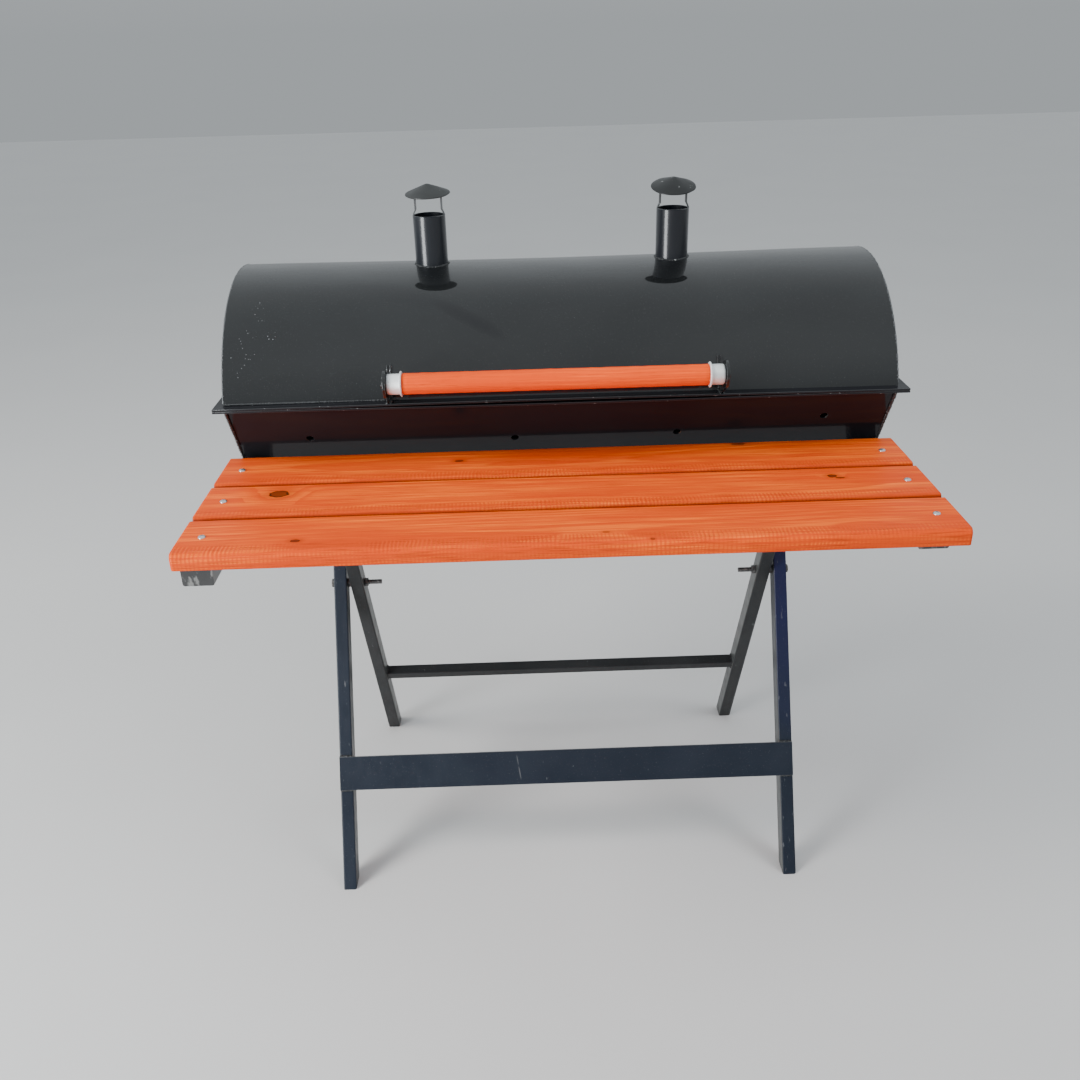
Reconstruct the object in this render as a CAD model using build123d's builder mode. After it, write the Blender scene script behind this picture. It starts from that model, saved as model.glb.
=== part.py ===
# Charcoal barrel grill: a welded steel firebox with a hinged half-barrel lid,
# a wooden front shelf and a folding stand of two crossed tube frames.
# Millimetres. X runs along the grill, the shelf is on the -Y side, +Z is up.
# The origin is on the ground, in the middle of the space that the grill takes up.
import os
from math import cos, radians, sin, tan

from build123d import *

os.makedirs("parts", exist_ok=True)

# ---------------------------------------------------------------- driving sizes
# folding stand
leg_width = 23
leg_depth = 30
leg_wall = 2
leg_tilt = 26.2
pivot_height = 487
outer_leg_x = 394.5
inner_leg_x = 364.3
leg_overrun = 15
top_pivot_height = 690
front_bar_width = 60
front_bar_thickness = 4
front_bar_height = 181
rear_bar_side = 20
rear_bar_height = 197
top_bar_diameter = 12

# firebox, with its centre line as y = 0
body_length = 974
rim_length = 1000
rim_half_depth = 232.6
firebox_half_depth = 216
firebox_rim_height = 893
firebox_base_height = 725
panel_lean = 30
firebox_sheet = 3
flange_width = 20
flange_thickness = 3
flange_gap = 0.4
air_hole_diameter = 12
# along the grill, and down the panel from its upper edge
air_holes = ((-377, 70), (-70, 83), (175, 81), (392, 54))

# lid
lid_sheet = 2
lid_radius = 229
lid_centre_height = 823
chimney_x = (-191, 183)
chimney_diameter = 50
chimney_wall = 2.5
chimney_foot = 1036
chimney_top = 1123
cap_diameter = 69
cap_rim_height = 1155
cap_rise = 14
cap_sheet = 2
# how far each cap leans forwards on its straps, in degrees
cap_lean = {"left": 6, "right": 14}
strap_width = 5
strap_thickness = 3
strap_radius = 21.5
strap_foot_radius = 24.8
strap_bend = 8

# lid handle
handle_x = -9
handle_out = 250
handle_height = 935
rod_diameter = 30
rod_half_length = 214.5
plate_thickness = 4
plate_end_radius = 20
ferrule_diameter = 29
ferrule_length = 22
ferrule_wall = 2
lip_diameter = 36
lip_thickness = 2.5
handle_screw_diameter = 6
handle_screw_head = 10
handle_screw_head_height = 4
handle_screw_grip = 30
ferrule_rounding = 2.5
cup_floor = 3

# shelf
shelf_length = 1000
shelf_height = 805.5
shelf_front = 503
plank_width = 100
plank_gap = 10
plank_thickness = 22
bracket_x = 470
bracket_width = 40
bracket_height = 25
bracket_wall = 2
bracket_set_back = 7
screw_shank = 4.5
screw_head = 10.5
screw_head_height = 2.8
screw_length = 30

# grates
grate_height = 866
grate_length = 438
wire = 5
frame_wire = 8
wire_pitch = 20
ledge_width = 14
ledge_thickness = 3

# pins, bolts and play
bolt_diameter = 8
nut_across_flats = 13
nut_height = 6.5
head_height = 5.3
thread_end = 322
play = 0.3
bore_play = 0.06
hinge_x = (-330, 330)
hinge_radius = 6
hinge_pin_radius = 3
hinge_stand_off = 7
knuckle_length = 24
lid_opening = 104

# ---------------------------------------------------------------- worked-out sizes
tilt = radians(leg_tilt)
lean = tan(radians(panel_lean))
foot_reach = pivot_height * tan(tilt)
foot_half_depth = leg_depth / 2 / cos(tilt)
# the shelf's front edge and the rear feet are equally far from the origin
body_y = (shelf_front - foot_reach - foot_half_depth) / 2
top_pivot_y = (top_pivot_height - pivot_height) * tan(tilt)
half_body = body_length / 2
half_rim = rim_length / 2
lid_seat = firebox_rim_height + 2 * flange_thickness + flange_gap
hinge_y = rim_half_depth + hinge_stand_off
hinge_height = firebox_rim_height + flange_thickness + flange_gap / 2
bolt_radius = bolt_diameter / 2
plate_x = rod_half_length + ferrule_length


def across(x):
    """The plane across the grill at x: its x runs back from the centre line, its y runs up."""
    return Plane(origin=(x, body_y, 0), x_dir=(0, 1, 0), z_dir=(1, 0, 0))


def level(height):
    """The level plane at a height, with its origin on the firebox's centre line."""
    return Plane(origin=(0, body_y, height))


def axis_plane(x, back, height):
    """The plane across the grill at x, with its origin at a pin or a bolt."""
    return Plane(origin=(x, body_y + back, height), x_dir=(0, 1, 0), z_dir=(1, 0, 0))


def panel_edge(height):
    """How far the firebox's sloping outer face is from the centre line at a height."""
    return firebox_half_depth - (firebox_rim_height - height) * lean


def panel_inside(height):
    """The same for the panel's inner face."""
    return panel_edge(height) - firebox_sheet / cos(radians(panel_lean))


def save(part, name):
    part.label = name
    export_step(part, f"parts/{name}.step")


# ---------------------------------------------------------------- firebox
def firebox_panel(side, holes):
    """A sloping long panel; side is -1 for the front and 1 for the back."""
    base = firebox_base_height
    with BuildPart() as panel:
        with BuildSketch(across(-half_body + firebox_sheet)):
            with BuildLine():
                Polyline(
                    (side * panel_edge(firebox_rim_height), firebox_rim_height),
                    (side * panel_edge(base), base),
                    (side * panel_inside(base), base),
                    (side * panel_inside(firebox_rim_height), firebox_rim_height),
                    close=True,
                )
            make_face()
        extrude(amount=body_length - 2 * firebox_sheet)
        for x, down in holes:
            drop = down * cos(radians(panel_lean))
            out = side * panel_edge(firebox_rim_height - drop)
            face = Plane(
                origin=(x, body_y + out, firebox_rim_height - drop),
                x_dir=(1, 0, 0),
                z_dir=(0, side * cos(radians(panel_lean)), -sin(radians(panel_lean))),
            )
            with BuildSketch(face):
                Circle(air_hole_diameter / 2)
            extrude(amount=2 * firebox_sheet, both=True, mode=Mode.SUBTRACT)
    return panel.part


save(firebox_panel(-1, air_holes), "firebox_front_panel")
save(firebox_panel(1, ()), "firebox_back_panel")

with BuildPart() as firebox_floor:
    floor_top = firebox_base_height + firebox_sheet
    with BuildSketch(across(-half_body + firebox_sheet)):
        with BuildLine():
            Polyline(
                (-panel_inside(firebox_base_height), firebox_base_height),
                (panel_inside(firebox_base_height), firebox_base_height),
                (panel_inside(floor_top), floor_top),
                (-panel_inside(floor_top), floor_top),
                close=True,
            )
        make_face()
    extrude(amount=body_length - 2 * firebox_sheet)
save(firebox_floor.part, "firebox_floor")

for end, start in (("left", -half_body), ("right", half_body - firebox_sheet)):
    with BuildPart() as firebox_end:
        with BuildSketch(across(start)):
            with BuildLine():
                Polyline(
                    (-panel_edge(firebox_rim_height), firebox_rim_height),
                    (-panel_edge(firebox_base_height), firebox_base_height),
                    (panel_edge(firebox_base_height), firebox_base_height),
                    (panel_edge(firebox_rim_height), firebox_rim_height),
                    close=True,
                )
            make_face()
        extrude(amount=firebox_sheet)
    save(firebox_end.part, f"firebox_end_{end}")


# ---------------------------------------------------------------- rims
rim_sides = ("front", "right", "back", "left")


def flange_bar(side, height):
    """One mitred flat bar of a rim, named by the side of the grill that it is on."""
    inner_x = half_rim - flange_width
    inner_y = rim_half_depth - flange_width
    quarter = ((-1, -1), (1, -1), (1, 1), (-1, 1))
    outer = [(half_rim * x, rim_half_depth * y) for x, y in quarter]
    inner = [(inner_x * x, inner_y * y) for x, y in quarter]
    first = rim_sides.index(side)
    second = (first + 1) % 4
    with BuildPart() as bar:
        with BuildSketch(level(height)):
            with BuildLine():
                Polyline(outer[first], outer[second], inner[second], inner[first], close=True)
            make_face()
        extrude(amount=flange_thickness)
    return bar.part


for side in rim_sides:
    save(flange_bar(side, firebox_rim_height), f"firebox_flange_{side}")
    save(flange_bar(side, lid_seat - flange_thickness), f"lid_flange_{side}")

# ---------------------------------------------------------------- grates and their ledges
ledge_top = grate_height - frame_wire / 2 - play
ledge_base = ledge_top - ledge_thickness
ledge_end_gap = 20
with BuildPart() as grate_ledges:
    for side in (-1, 1):
        ledge_edge = side * (panel_inside(ledge_top) - ledge_width)
        with BuildSketch(across(-half_body + ledge_end_gap)):
            with BuildLine():
                Polyline(
                    (side * panel_inside(ledge_base), ledge_base),
                    (side * panel_inside(ledge_top), ledge_top),
                    (ledge_edge, ledge_top),
                    (ledge_edge, ledge_base),
                    close=True,
                )
            make_face()
        extrude(amount=body_length - 2 * ledge_end_gap)
save(grate_ledges.part, "grate_ledges")

# Each welded wire grate has three long frame wires with thinner cross wires on them.
# Both stop short of the firebox's ends, which leaves room to lift them and to add coals.
grate_half_depth = panel_inside(grate_height) - 4
frame_wire_out = grate_half_depth - frame_wire
cross_wire_count = int((grate_length - 2 * wire) / wire_pitch) + 1
cross_wire_height = grate_height + frame_wire / 2 + wire / 2 - 1

for end, start in (("left", -grate_length - 2), ("right", 2)):
    with BuildPart() as cooking_grate:
        for back in (-frame_wire_out, 0, frame_wire_out):
            with BuildSketch(axis_plane(start, back, grate_height)):
                Circle(frame_wire / 2)
            extrude(amount=grate_length)
        wire_start = Plane(
            origin=(start + grate_length / 2, body_y - grate_half_depth, cross_wire_height),
            x_dir=(1, 0, 0),
            z_dir=(0, 1, 0),
        )
        with BuildSketch(wire_start):
            with GridLocations(wire_pitch, 1, cross_wire_count, 1):
                Circle(wire / 2)
        extrude(amount=2 * grate_half_depth)
    save(cooking_grate.part, f"cooking_grate_{end}")

# ---------------------------------------------------------------- lid
with BuildPart() as lid_shell:
    with BuildSketch(across(-half_body)):
        with Locations((0, lid_centre_height)):
            Circle(lid_radius)
            Circle(lid_radius - lid_sheet, mode=Mode.SUBTRACT)
        with Locations((0, lid_seat)):
            Rectangle(3 * lid_radius, lid_radius, align=(Align.CENTER, Align.MIN), mode=Mode.INTERSECT)
    extrude(amount=body_length)
    with BuildSketch(level(lid_centre_height)):
        with Locations(*[(x, 0) for x in chimney_x]):
            Circle(chimney_diameter / 2 + bore_play)
    extrude(amount=lid_radius + 1, mode=Mode.SUBTRACT)
save(lid_shell.part, "lid_shell")

for end, start in (("left", -half_body), ("right", half_body - lid_sheet)):
    with BuildPart() as lid_end:
        with BuildSketch(across(start)):
            with Locations((0, lid_centre_height)):
                Circle(lid_radius - lid_sheet)
            with Locations((0, lid_seat)):
                Rectangle(3 * lid_radius, lid_radius, align=(Align.CENTER, Align.MIN), mode=Mode.INTERSECT)
        extrude(amount=lid_sheet)
    save(lid_end.part, f"lid_end_{end}")

# ---------------------------------------------------------------- chimneys
# Each cap stands on two bent straps, left and right, on the pipe's upper edge.
pipe_bore = chimney_diameter / 2 - chimney_wall
cap_radius = cap_diameter / 2
cap_inside = cap_rim_height + cap_rise - cap_sheet


def cone(x, lean, outline):
    """A cap or the room over it: an outline of (radius, height) spun round and leant forwards."""
    with BuildPart() as spun:
        with BuildSketch(Plane(origin=(x, body_y, 0), x_dir=(1, 0, 0), z_dir=(0, -1, 0))):
            with BuildLine():
                Polyline(*outline, close=True)
            make_face()
        revolve(axis=Axis((x, body_y, 0), (0, 0, 1)))
    return spun.part.rotate(Axis((x, body_y, cap_rim_height), (1, 0, 0)), lean)


for end, x in zip(("left", "right"), chimney_x):
    with BuildPart() as chimney_pipe:
        with BuildSketch(Plane(origin=(x, body_y, chimney_foot))):
            Circle(chimney_diameter / 2)
            Circle(pipe_bore, mode=Mode.SUBTRACT)
        extrude(amount=chimney_top - chimney_foot)
    save(chimney_pipe.part, f"chimney_pipe_{end}")

    under_edge = ((0, cap_inside), (cap_radius, cap_rim_height - cap_sheet))
    over_edge = ((cap_radius, cap_rim_height), (0, cap_rim_height + cap_rise))
    room_edge = ((cap_radius, cap_rim_height + 2 * cap_rise), (0, cap_rim_height + 2 * cap_rise))
    with BuildPart() as chimney_posts:
        for side in (-1, 1):
            strap_start = Plane(
                origin=(x, body_y - strap_width / 2, 0),
                x_dir=(1, 0, 0),
                z_dir=(0, -1, 0),
            )
            with BuildSketch(strap_start):
                with BuildLine():
                    Polyline(
                        (side * strap_radius, cap_rim_height + cap_rise),
                        (side * strap_radius, chimney_top + strap_bend),
                        (side * strap_foot_radius, chimney_top),
                        (side * (pipe_bore + 0.2), chimney_top),
                        (side * (strap_radius - strap_thickness), chimney_top + strap_bend),
                        (side * (strap_radius - strap_thickness), cap_rim_height + cap_rise),
                        close=True,
                    )
                make_face()
            extrude(amount=-strap_width)
        add(cone(x, cap_lean[end], under_edge + room_edge), mode=Mode.SUBTRACT)
    save(chimney_posts.part, f"chimney_posts_{end}")
    save(cone(x, cap_lean[end], under_edge + over_edge), f"chimney_cap_{end}")

# ---------------------------------------------------------------- lid handle
rod_end_radius = ferrule_diameter / 2 - ferrule_wall
# The plate's upper edge falls straight from its round end to the lid. The outline runs on
# into the lid, whose curve trims it.
plate_slope = radians(50)
plate_fall = 60
shoulder_y = -handle_out + plate_end_radius * cos(plate_slope)
shoulder_z = handle_height + plate_end_radius * sin(plate_slope)
heel_y = shoulder_y + plate_fall * sin(plate_slope)
heel_z = shoulder_z - plate_fall * cos(plate_slope)

for end, side in (("left", -1), ("right", 1)):
    inner_face = handle_x + side * plate_x
    plate_start = inner_face if side > 0 else inner_face - plate_thickness
    with BuildPart() as handle_plate:
        with BuildSketch(across(plate_start)):
            with BuildLine():
                Polyline(
                    (shoulder_y, shoulder_z),
                    (heel_y, heel_z),
                    (heel_y, lid_seat),
                    (-rim_half_depth + 3, lid_seat),
                    (-handle_out - 4, handle_height - plate_end_radius + 1),
                    close=True,
                )
            make_face()
            with Locations((-handle_out, handle_height)):
                Circle(plate_end_radius)
            with Locations((0, lid_centre_height)):
                Circle(lid_radius + 0.02, mode=Mode.SUBTRACT)
            with Locations((-handle_out, handle_height)):
                Circle(handle_screw_diameter / 2 + bore_play, mode=Mode.SUBTRACT)
        extrude(amount=plate_thickness)
    save(handle_plate.part, f"handle_plate_{end}")

    with BuildPart() as handle_ferrule:
        cup_start = inner_face if side < 0 else inner_face - ferrule_length
        lip_start = inner_face - side * ferrule_length
        with BuildSketch(axis_plane(cup_start, -handle_out, handle_height)):
            Circle(ferrule_diameter / 2)
        extrude(amount=ferrule_length)
        end_circles = handle_ferrule.edges().filter_by(GeomType.CIRCLE).sort_by(Axis.X)
        fillet(end_circles[-1 if side > 0 else 0], ferrule_rounding)
        with BuildSketch(axis_plane(lip_start, -handle_out, handle_height)):
            Circle(lip_diameter / 2)
        extrude(amount=side * lip_thickness)
        bore_start = min(lip_start, inner_face - side * cup_floor)
        with BuildSketch(axis_plane(bore_start, -handle_out, handle_height)):
            Circle(rod_end_radius)
        extrude(amount=ferrule_length - cup_floor, mode=Mode.SUBTRACT)
        with BuildSketch(axis_plane(cup_start, -handle_out, handle_height)):
            Circle(handle_screw_diameter / 2 + bore_play)
        extrude(amount=ferrule_length, mode=Mode.SUBTRACT)
    save(handle_ferrule.part, f"handle_ferrule_{end}")

with BuildPart() as handle_rod:
    with BuildSketch(axis_plane(handle_x, -handle_out, handle_height)):
        Circle(rod_diameter / 2)
    extrude(amount=rod_half_length, both=True)
    with BuildSketch(axis_plane(handle_x, -handle_out, handle_height)):
        Circle(rod_end_radius - bore_play)
    extrude(amount=plate_x - cup_floor - 0.2, both=True)
    for side in (-1, 1):
        with BuildSketch(axis_plane(handle_x + side * plate_x, -handle_out, handle_height)):
            Circle(handle_screw_diameter / 2 + bore_play)
        extrude(amount=-side * (handle_screw_grip + 3), mode=Mode.SUBTRACT)
save(handle_rod.part, "handle_rod")

with BuildPart() as handle_screws:
    for side in (-1, 1):
        outer_face = handle_x + side * (plate_x + plate_thickness)
        with BuildSketch(axis_plane(outer_face, -handle_out, handle_height)):
            RegularPolygon(handle_screw_head / 2, 6, major_radius=False)
        extrude(amount=side * handle_screw_head_height)
        with BuildSketch(axis_plane(outer_face, -handle_out, handle_height)):
            Circle(handle_screw_diameter / 2)
        extrude(amount=-side * (handle_screw_grip + plate_thickness))
save(handle_screws.part, "handle_screws")

# ---------------------------------------------------------------- lid hinges
knuckle_pitch = knuckle_length + play

with BuildPart() as hinge_barrels_firebox:
    for x in hinge_x:
        for step in (-1, 1):
            start = x + step * knuckle_pitch - knuckle_length / 2
            with BuildSketch(axis_plane(start, hinge_y, hinge_height)):
                Circle(hinge_radius)
                with Locations((-hinge_stand_off, -flange_gap / 2)):
                    Rectangle(hinge_stand_off, flange_thickness, align=(Align.MIN, Align.MAX))
                Circle(hinge_pin_radius + bore_play, mode=Mode.SUBTRACT)
            extrude(amount=knuckle_length)
save(hinge_barrels_firebox.part, "hinge_barrels_firebox")

with BuildPart() as hinge_barrels_lid:
    for x in hinge_x:
        with BuildSketch(axis_plane(x - knuckle_length / 2, hinge_y, hinge_height)):
            Circle(hinge_radius)
            with Locations((-hinge_stand_off, flange_gap / 2)):
                Rectangle(hinge_stand_off, flange_thickness, align=(Align.MIN, Align.MIN))
            Circle(hinge_pin_radius + bore_play, mode=Mode.SUBTRACT)
        extrude(amount=knuckle_length)
save(hinge_barrels_lid.part, "hinge_barrels_lid")

with BuildPart() as hinge_pins:
    for x in hinge_x:
        pin_half = 1.5 * knuckle_pitch + 2
        with BuildSketch(axis_plane(x, hinge_y, hinge_height)):
            Circle(hinge_pin_radius)
        extrude(amount=pin_half, both=True)
        with BuildSketch(axis_plane(x - pin_half, hinge_y, hinge_height)):
            Circle(hinge_radius - 1)
        extrude(amount=-2.5)
save(hinge_pins.part, "hinge_pins")

# Each stop is a plate on the lid's rear bar. Opened to lid_opening, its lower edge
# meets the rear edge of the firebox's flange, so that edge is drawn turned back by the opening.
stop_turn = radians(lid_opening + 0.5)
stop_touch = -hinge_stand_off
stop_x = (-230, 230)
stop_thickness = 6


def turned_back(back, up):
    """A point near the hinge line, turned back from the open lid to the closed one."""
    return (back * cos(stop_turn) - up * sin(stop_turn), back * sin(stop_turn) + up * cos(stop_turn))


with BuildPart() as lid_stops:
    for x in stop_x:
        with BuildSketch(axis_plane(x - stop_thickness / 2, hinge_y, hinge_height)):
            with BuildLine():
                Polyline(
                    (-22, flange_gap / 2 + flange_thickness),
                    (-22, 9),
                    (0, 13),
                    (13, 7),
                    turned_back(stop_touch, -9),
                    turned_back(stop_touch, 0),
                    (-5, flange_gap / 2 + flange_thickness),
                    close=True,
                )
            make_face()
        extrude(amount=stop_thickness)
save(lid_stops.part, "lid_stops")

# ---------------------------------------------------------------- shelf
plank_step = plank_width + plank_gap
plank_names = ("front", "middle", "back")
plank_centres = [-shelf_front + plank_width / 2 + i * plank_step for i in range(3)]

for name, centre in zip(plank_names, plank_centres):
    front_round = 9 if name == "front" else 3
    with BuildPart() as plank:
        with BuildSketch(Plane(origin=(0, body_y + centre, shelf_height - plank_thickness))):
            Rectangle(shelf_length, plank_width)
        extrude(amount=plank_thickness)
        if name == "front":
            corners = plank.edges().filter_by(Axis.Z).group_by(Axis.Y)[0]
            fillet(corners, 5)
        top_front = plank.faces().sort_by(Axis.Z)[-1].edges().sort_by(Axis.Y)[0]
        fillet(top_front, front_round)
        with BuildSketch(Plane(origin=(0, body_y + centre, shelf_height))):
            with Locations((-bracket_x, 0), (bracket_x, 0)):
                Circle(screw_shank / 2 + bore_play)
        extrude(amount=-plank_thickness, mode=Mode.SUBTRACT)
    save(plank.part, f"shelf_plank_{name}")

bracket_top = shelf_height - plank_thickness
bracket_base = bracket_top - bracket_height
bracket_front = -shelf_front + bracket_set_back
# the right-hand tube was cut shorter and ends further back under the front plank
bracket_starts = {"left": bracket_front, "right": bracket_front + 36}

for end, side in (("left", -1), ("right", 1)):
    start = bracket_starts[end]
    with BuildPart() as bracket:
        with BuildSketch(across(side * bracket_x - bracket_width / 2)):
            with BuildLine():
                Polyline(
                    (start, bracket_top),
                    (start, bracket_base),
                    (-panel_edge(bracket_base), bracket_base),
                    (-panel_edge(bracket_top), bracket_top),
                    close=True,
                )
            make_face()
        extrude(amount=bracket_width)
        hollow = Plane(
            origin=(side * bracket_x, body_y + start + bracket_wall, 0),
            x_dir=(1, 0, 0),
            z_dir=(0, -1, 0),
        )
        with BuildSketch(hollow):
            with Locations((0, (bracket_top + bracket_base) / 2)):
                Rectangle(bracket_width - 2 * bracket_wall, bracket_height - 2 * bracket_wall)
        extrude(amount=-shelf_front, mode=Mode.SUBTRACT)
        with BuildSketch(level(bracket_top)):
            with Locations(*[(side * bracket_x, centre) for centre in plank_centres]):
                Circle(screw_shank / 2 + bore_play)
        extrude(amount=-2 * bracket_wall, mode=Mode.SUBTRACT)
    save(bracket.part, f"shelf_bracket_{end}")

with BuildPart() as shelf_screws:
    screw_places = [(side * bracket_x, centre) for side in (-1, 1) for centre in plank_centres]
    with BuildSketch(level(shelf_height)):
        with Locations(*screw_places):
            Circle(screw_head / 2)
    extrude(amount=screw_head_height)
    domes = shelf_screws.edges().filter_by(GeomType.CIRCLE).group_by(Axis.Z)[-1]
    fillet(domes, screw_head_height - 0.5)
    with BuildSketch(level(shelf_height)):
        with Locations(*screw_places):
            Circle(screw_shank / 2)
    extrude(amount=-screw_length)
save(shelf_screws.part, "shelf_screws")


# ---------------------------------------------------------------- stand
leg_spare = 60
foot_plug = 12


def leg(x, way, bores):
    """A tube leg; way is -1 for a leg with its foot in front and 1 for one with its foot behind.
    It starts longer than it needs to be and is cut off level with the ground."""
    slope = -way * sin(tilt)
    above_pivot = (top_pivot_height - pivot_height) / cos(tilt) + leg_overrun
    with BuildPart() as tube:
        low = Plane(
            origin=(x, body_y + way * foot_reach - slope * leg_spare, -cos(tilt) * leg_spare),
            x_dir=(1, 0, 0),
            z_dir=(0, slope, cos(tilt)),
        )
        full = pivot_height / cos(tilt) + above_pivot + leg_spare
        with BuildSketch(low):
            Rectangle(leg_width, leg_depth)
        extrude(amount=full)
        with BuildSketch(low.offset(leg_spare + foot_plug)):
            Rectangle(leg_width - 2 * leg_wall, leg_depth - 2 * leg_wall)
        extrude(amount=full, mode=Mode.SUBTRACT)
        split(bisect_by=Plane.XY, keep=Keep.TOP)
        for height, radius in bores:
            back = (height - pivot_height) * slope / cos(tilt)
            with BuildSketch(axis_plane(x, back, height)):
                Circle(radius)
            extrude(amount=leg_width, both=True, mode=Mode.SUBTRACT)
    return tube.part


bolt_bore = bolt_radius + bore_play
for end, side in (("left", -1), ("right", 1)):
    bolt_bores = ((pivot_height, bolt_bore), (top_pivot_height, bolt_bore))
    save(leg(side * outer_leg_x, -1, bolt_bores), f"outer_leg_{end}")
    save(leg(side * inner_leg_x, 1, ((pivot_height, bolt_bore),)), f"inner_leg_{end}")

front_bar_back = -(pivot_height - front_bar_height) * tan(tilt)
with BuildPart() as front_crossbar:
    bar_centre = Plane(
        origin=(0, body_y + front_bar_back, front_bar_height),
        x_dir=(1, 0, 0),
        z_dir=(0, -cos(tilt), sin(tilt)),
    )
    with BuildSketch(bar_centre.offset(leg_depth / 2)):
        Rectangle(2 * outer_leg_x + leg_width, front_bar_width)
    extrude(amount=front_bar_thickness)
save(front_crossbar.part, "front_crossbar")

inner_span = inner_leg_x - leg_width / 2
rear_bar_back = (pivot_height - rear_bar_height) * tan(tilt)
with BuildPart() as rear_crossbar:
    rear_bar_bore = rear_bar_side - 2 * leg_wall
    with BuildSketch(axis_plane(-inner_span, rear_bar_back, rear_bar_height)):
        Rectangle(rear_bar_side, rear_bar_side, rotation=leg_tilt)
        Rectangle(rear_bar_bore, rear_bar_bore, rotation=leg_tilt, mode=Mode.SUBTRACT)
    extrude(amount=2 * inner_span)
save(rear_crossbar.part, "rear_crossbar")

with BuildPart() as inner_top_bar:
    with BuildSketch(axis_plane(0, -top_pivot_y, top_pivot_height)):
        Circle(top_bar_diameter / 2)
    extrude(amount=inner_span, both=True)
save(inner_top_bar.part, "inner_top_bar")

# ---------------------------------------------------------------- pivot bolts of the stand
outer_face_x = outer_leg_x + leg_width / 2
inner_face_x = inner_leg_x - leg_width / 2
with BuildPart() as pivot_bolts:
    for side in (-1, 1):
        with BuildSketch(axis_plane(side * outer_face_x, 0, pivot_height)):
            RegularPolygon(nut_across_flats / 2, 6, major_radius=False)
        extrude(amount=side * head_height)
        with BuildSketch(axis_plane(side * outer_face_x, 0, pivot_height)):
            Circle(bolt_radius)
        extrude(amount=-side * (outer_face_x - thread_end))
save(pivot_bolts.part, "pivot_bolts")

with BuildPart() as pivot_nuts:
    for side in (-1, 1):
        with BuildSketch(axis_plane(side * (inner_face_x - play), 0, pivot_height)):
            RegularPolygon(nut_across_flats / 2, 6, major_radius=False)
            Circle(bolt_bore, mode=Mode.SUBTRACT)
        extrude(amount=-side * nut_height)
save(pivot_nuts.part, "pivot_nuts")

spacer_outer = outer_leg_x - leg_width / 2
spacer_inner = inner_leg_x + leg_width / 2 + play
with BuildPart() as pivot_spacers:
    for side in (-1, 1):
        with BuildSketch(axis_plane(side * spacer_inner, 0, pivot_height)):
            Circle(bolt_radius + 4)
            Circle(bolt_bore, mode=Mode.SUBTRACT)
        extrude(amount=side * (spacer_outer - spacer_inner))
save(pivot_spacers.part, "pivot_spacers")

# ---------------------------------------------------------------- ears under the firebox
ear_thickness = 5
ear_width = 44
ear_x = outer_face_x + 0.7
stand_stop_x = 315
stand_stop_width = 40
stand_stop_height = 50
stand_stop_thickness = 6
stop_y = top_pivot_y + top_bar_diameter / 2 + play
for end, side in (("left", -1), ("right", 1)):
    ear_start = side * ear_x if side > 0 else -ear_x - ear_thickness
    with BuildPart() as ear:
        with BuildSketch(axis_plane(ear_start, top_pivot_y, top_pivot_height)):
            Circle(ear_width / 2)
            Rectangle(
                ear_width,
                firebox_base_height - top_pivot_height,
                align=(Align.CENTER, Align.MIN),
            )
            Circle(bolt_bore, mode=Mode.SUBTRACT)
        extrude(amount=ear_thickness)
    save(ear.part, f"stand_ear_{end}")

    with BuildPart() as stop_plate:
        stop_face = Plane(
            origin=(side * stand_stop_x, body_y - stop_y, firebox_base_height),
            x_dir=(1, 0, 0),
            z_dir=(0, -1, 0),
        )
        with BuildSketch(stop_face):
            Rectangle(stand_stop_width, stand_stop_height, align=(Align.CENTER, Align.MAX))
        extrude(amount=stand_stop_thickness)
    save(stop_plate.part, f"stand_stop_{end}")

ear_bolt_inner = spacer_outer - play - nut_height
with BuildPart() as ear_bolts:
    for side in (-1, 1):
        head_x = side * (ear_x + ear_thickness)
        with BuildSketch(axis_plane(head_x, top_pivot_y, top_pivot_height)):
            RegularPolygon(nut_across_flats / 2, 6, major_radius=False)
        extrude(amount=side * head_height)
        with BuildSketch(axis_plane(head_x, top_pivot_y, top_pivot_height)):
            Circle(bolt_radius)
        extrude(amount=-side * (ear_x + ear_thickness - ear_bolt_inner))
save(ear_bolts.part, "ear_bolts")

with BuildPart() as ear_nuts:
    for side in (-1, 1):
        with BuildSketch(axis_plane(side * (spacer_outer - play), top_pivot_y, top_pivot_height)):
            RegularPolygon(nut_across_flats / 2, 6, major_radius=False)
            Circle(bolt_bore, mode=Mode.SUBTRACT)
        extrude(amount=-side * nut_height)
save(ear_nuts.part, "ear_nuts")
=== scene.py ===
from math import asin, cos, pi, radians, sin, sqrt, tan

import bmesh
import bpy
from mathutils import Matrix, Vector, noise


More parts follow.
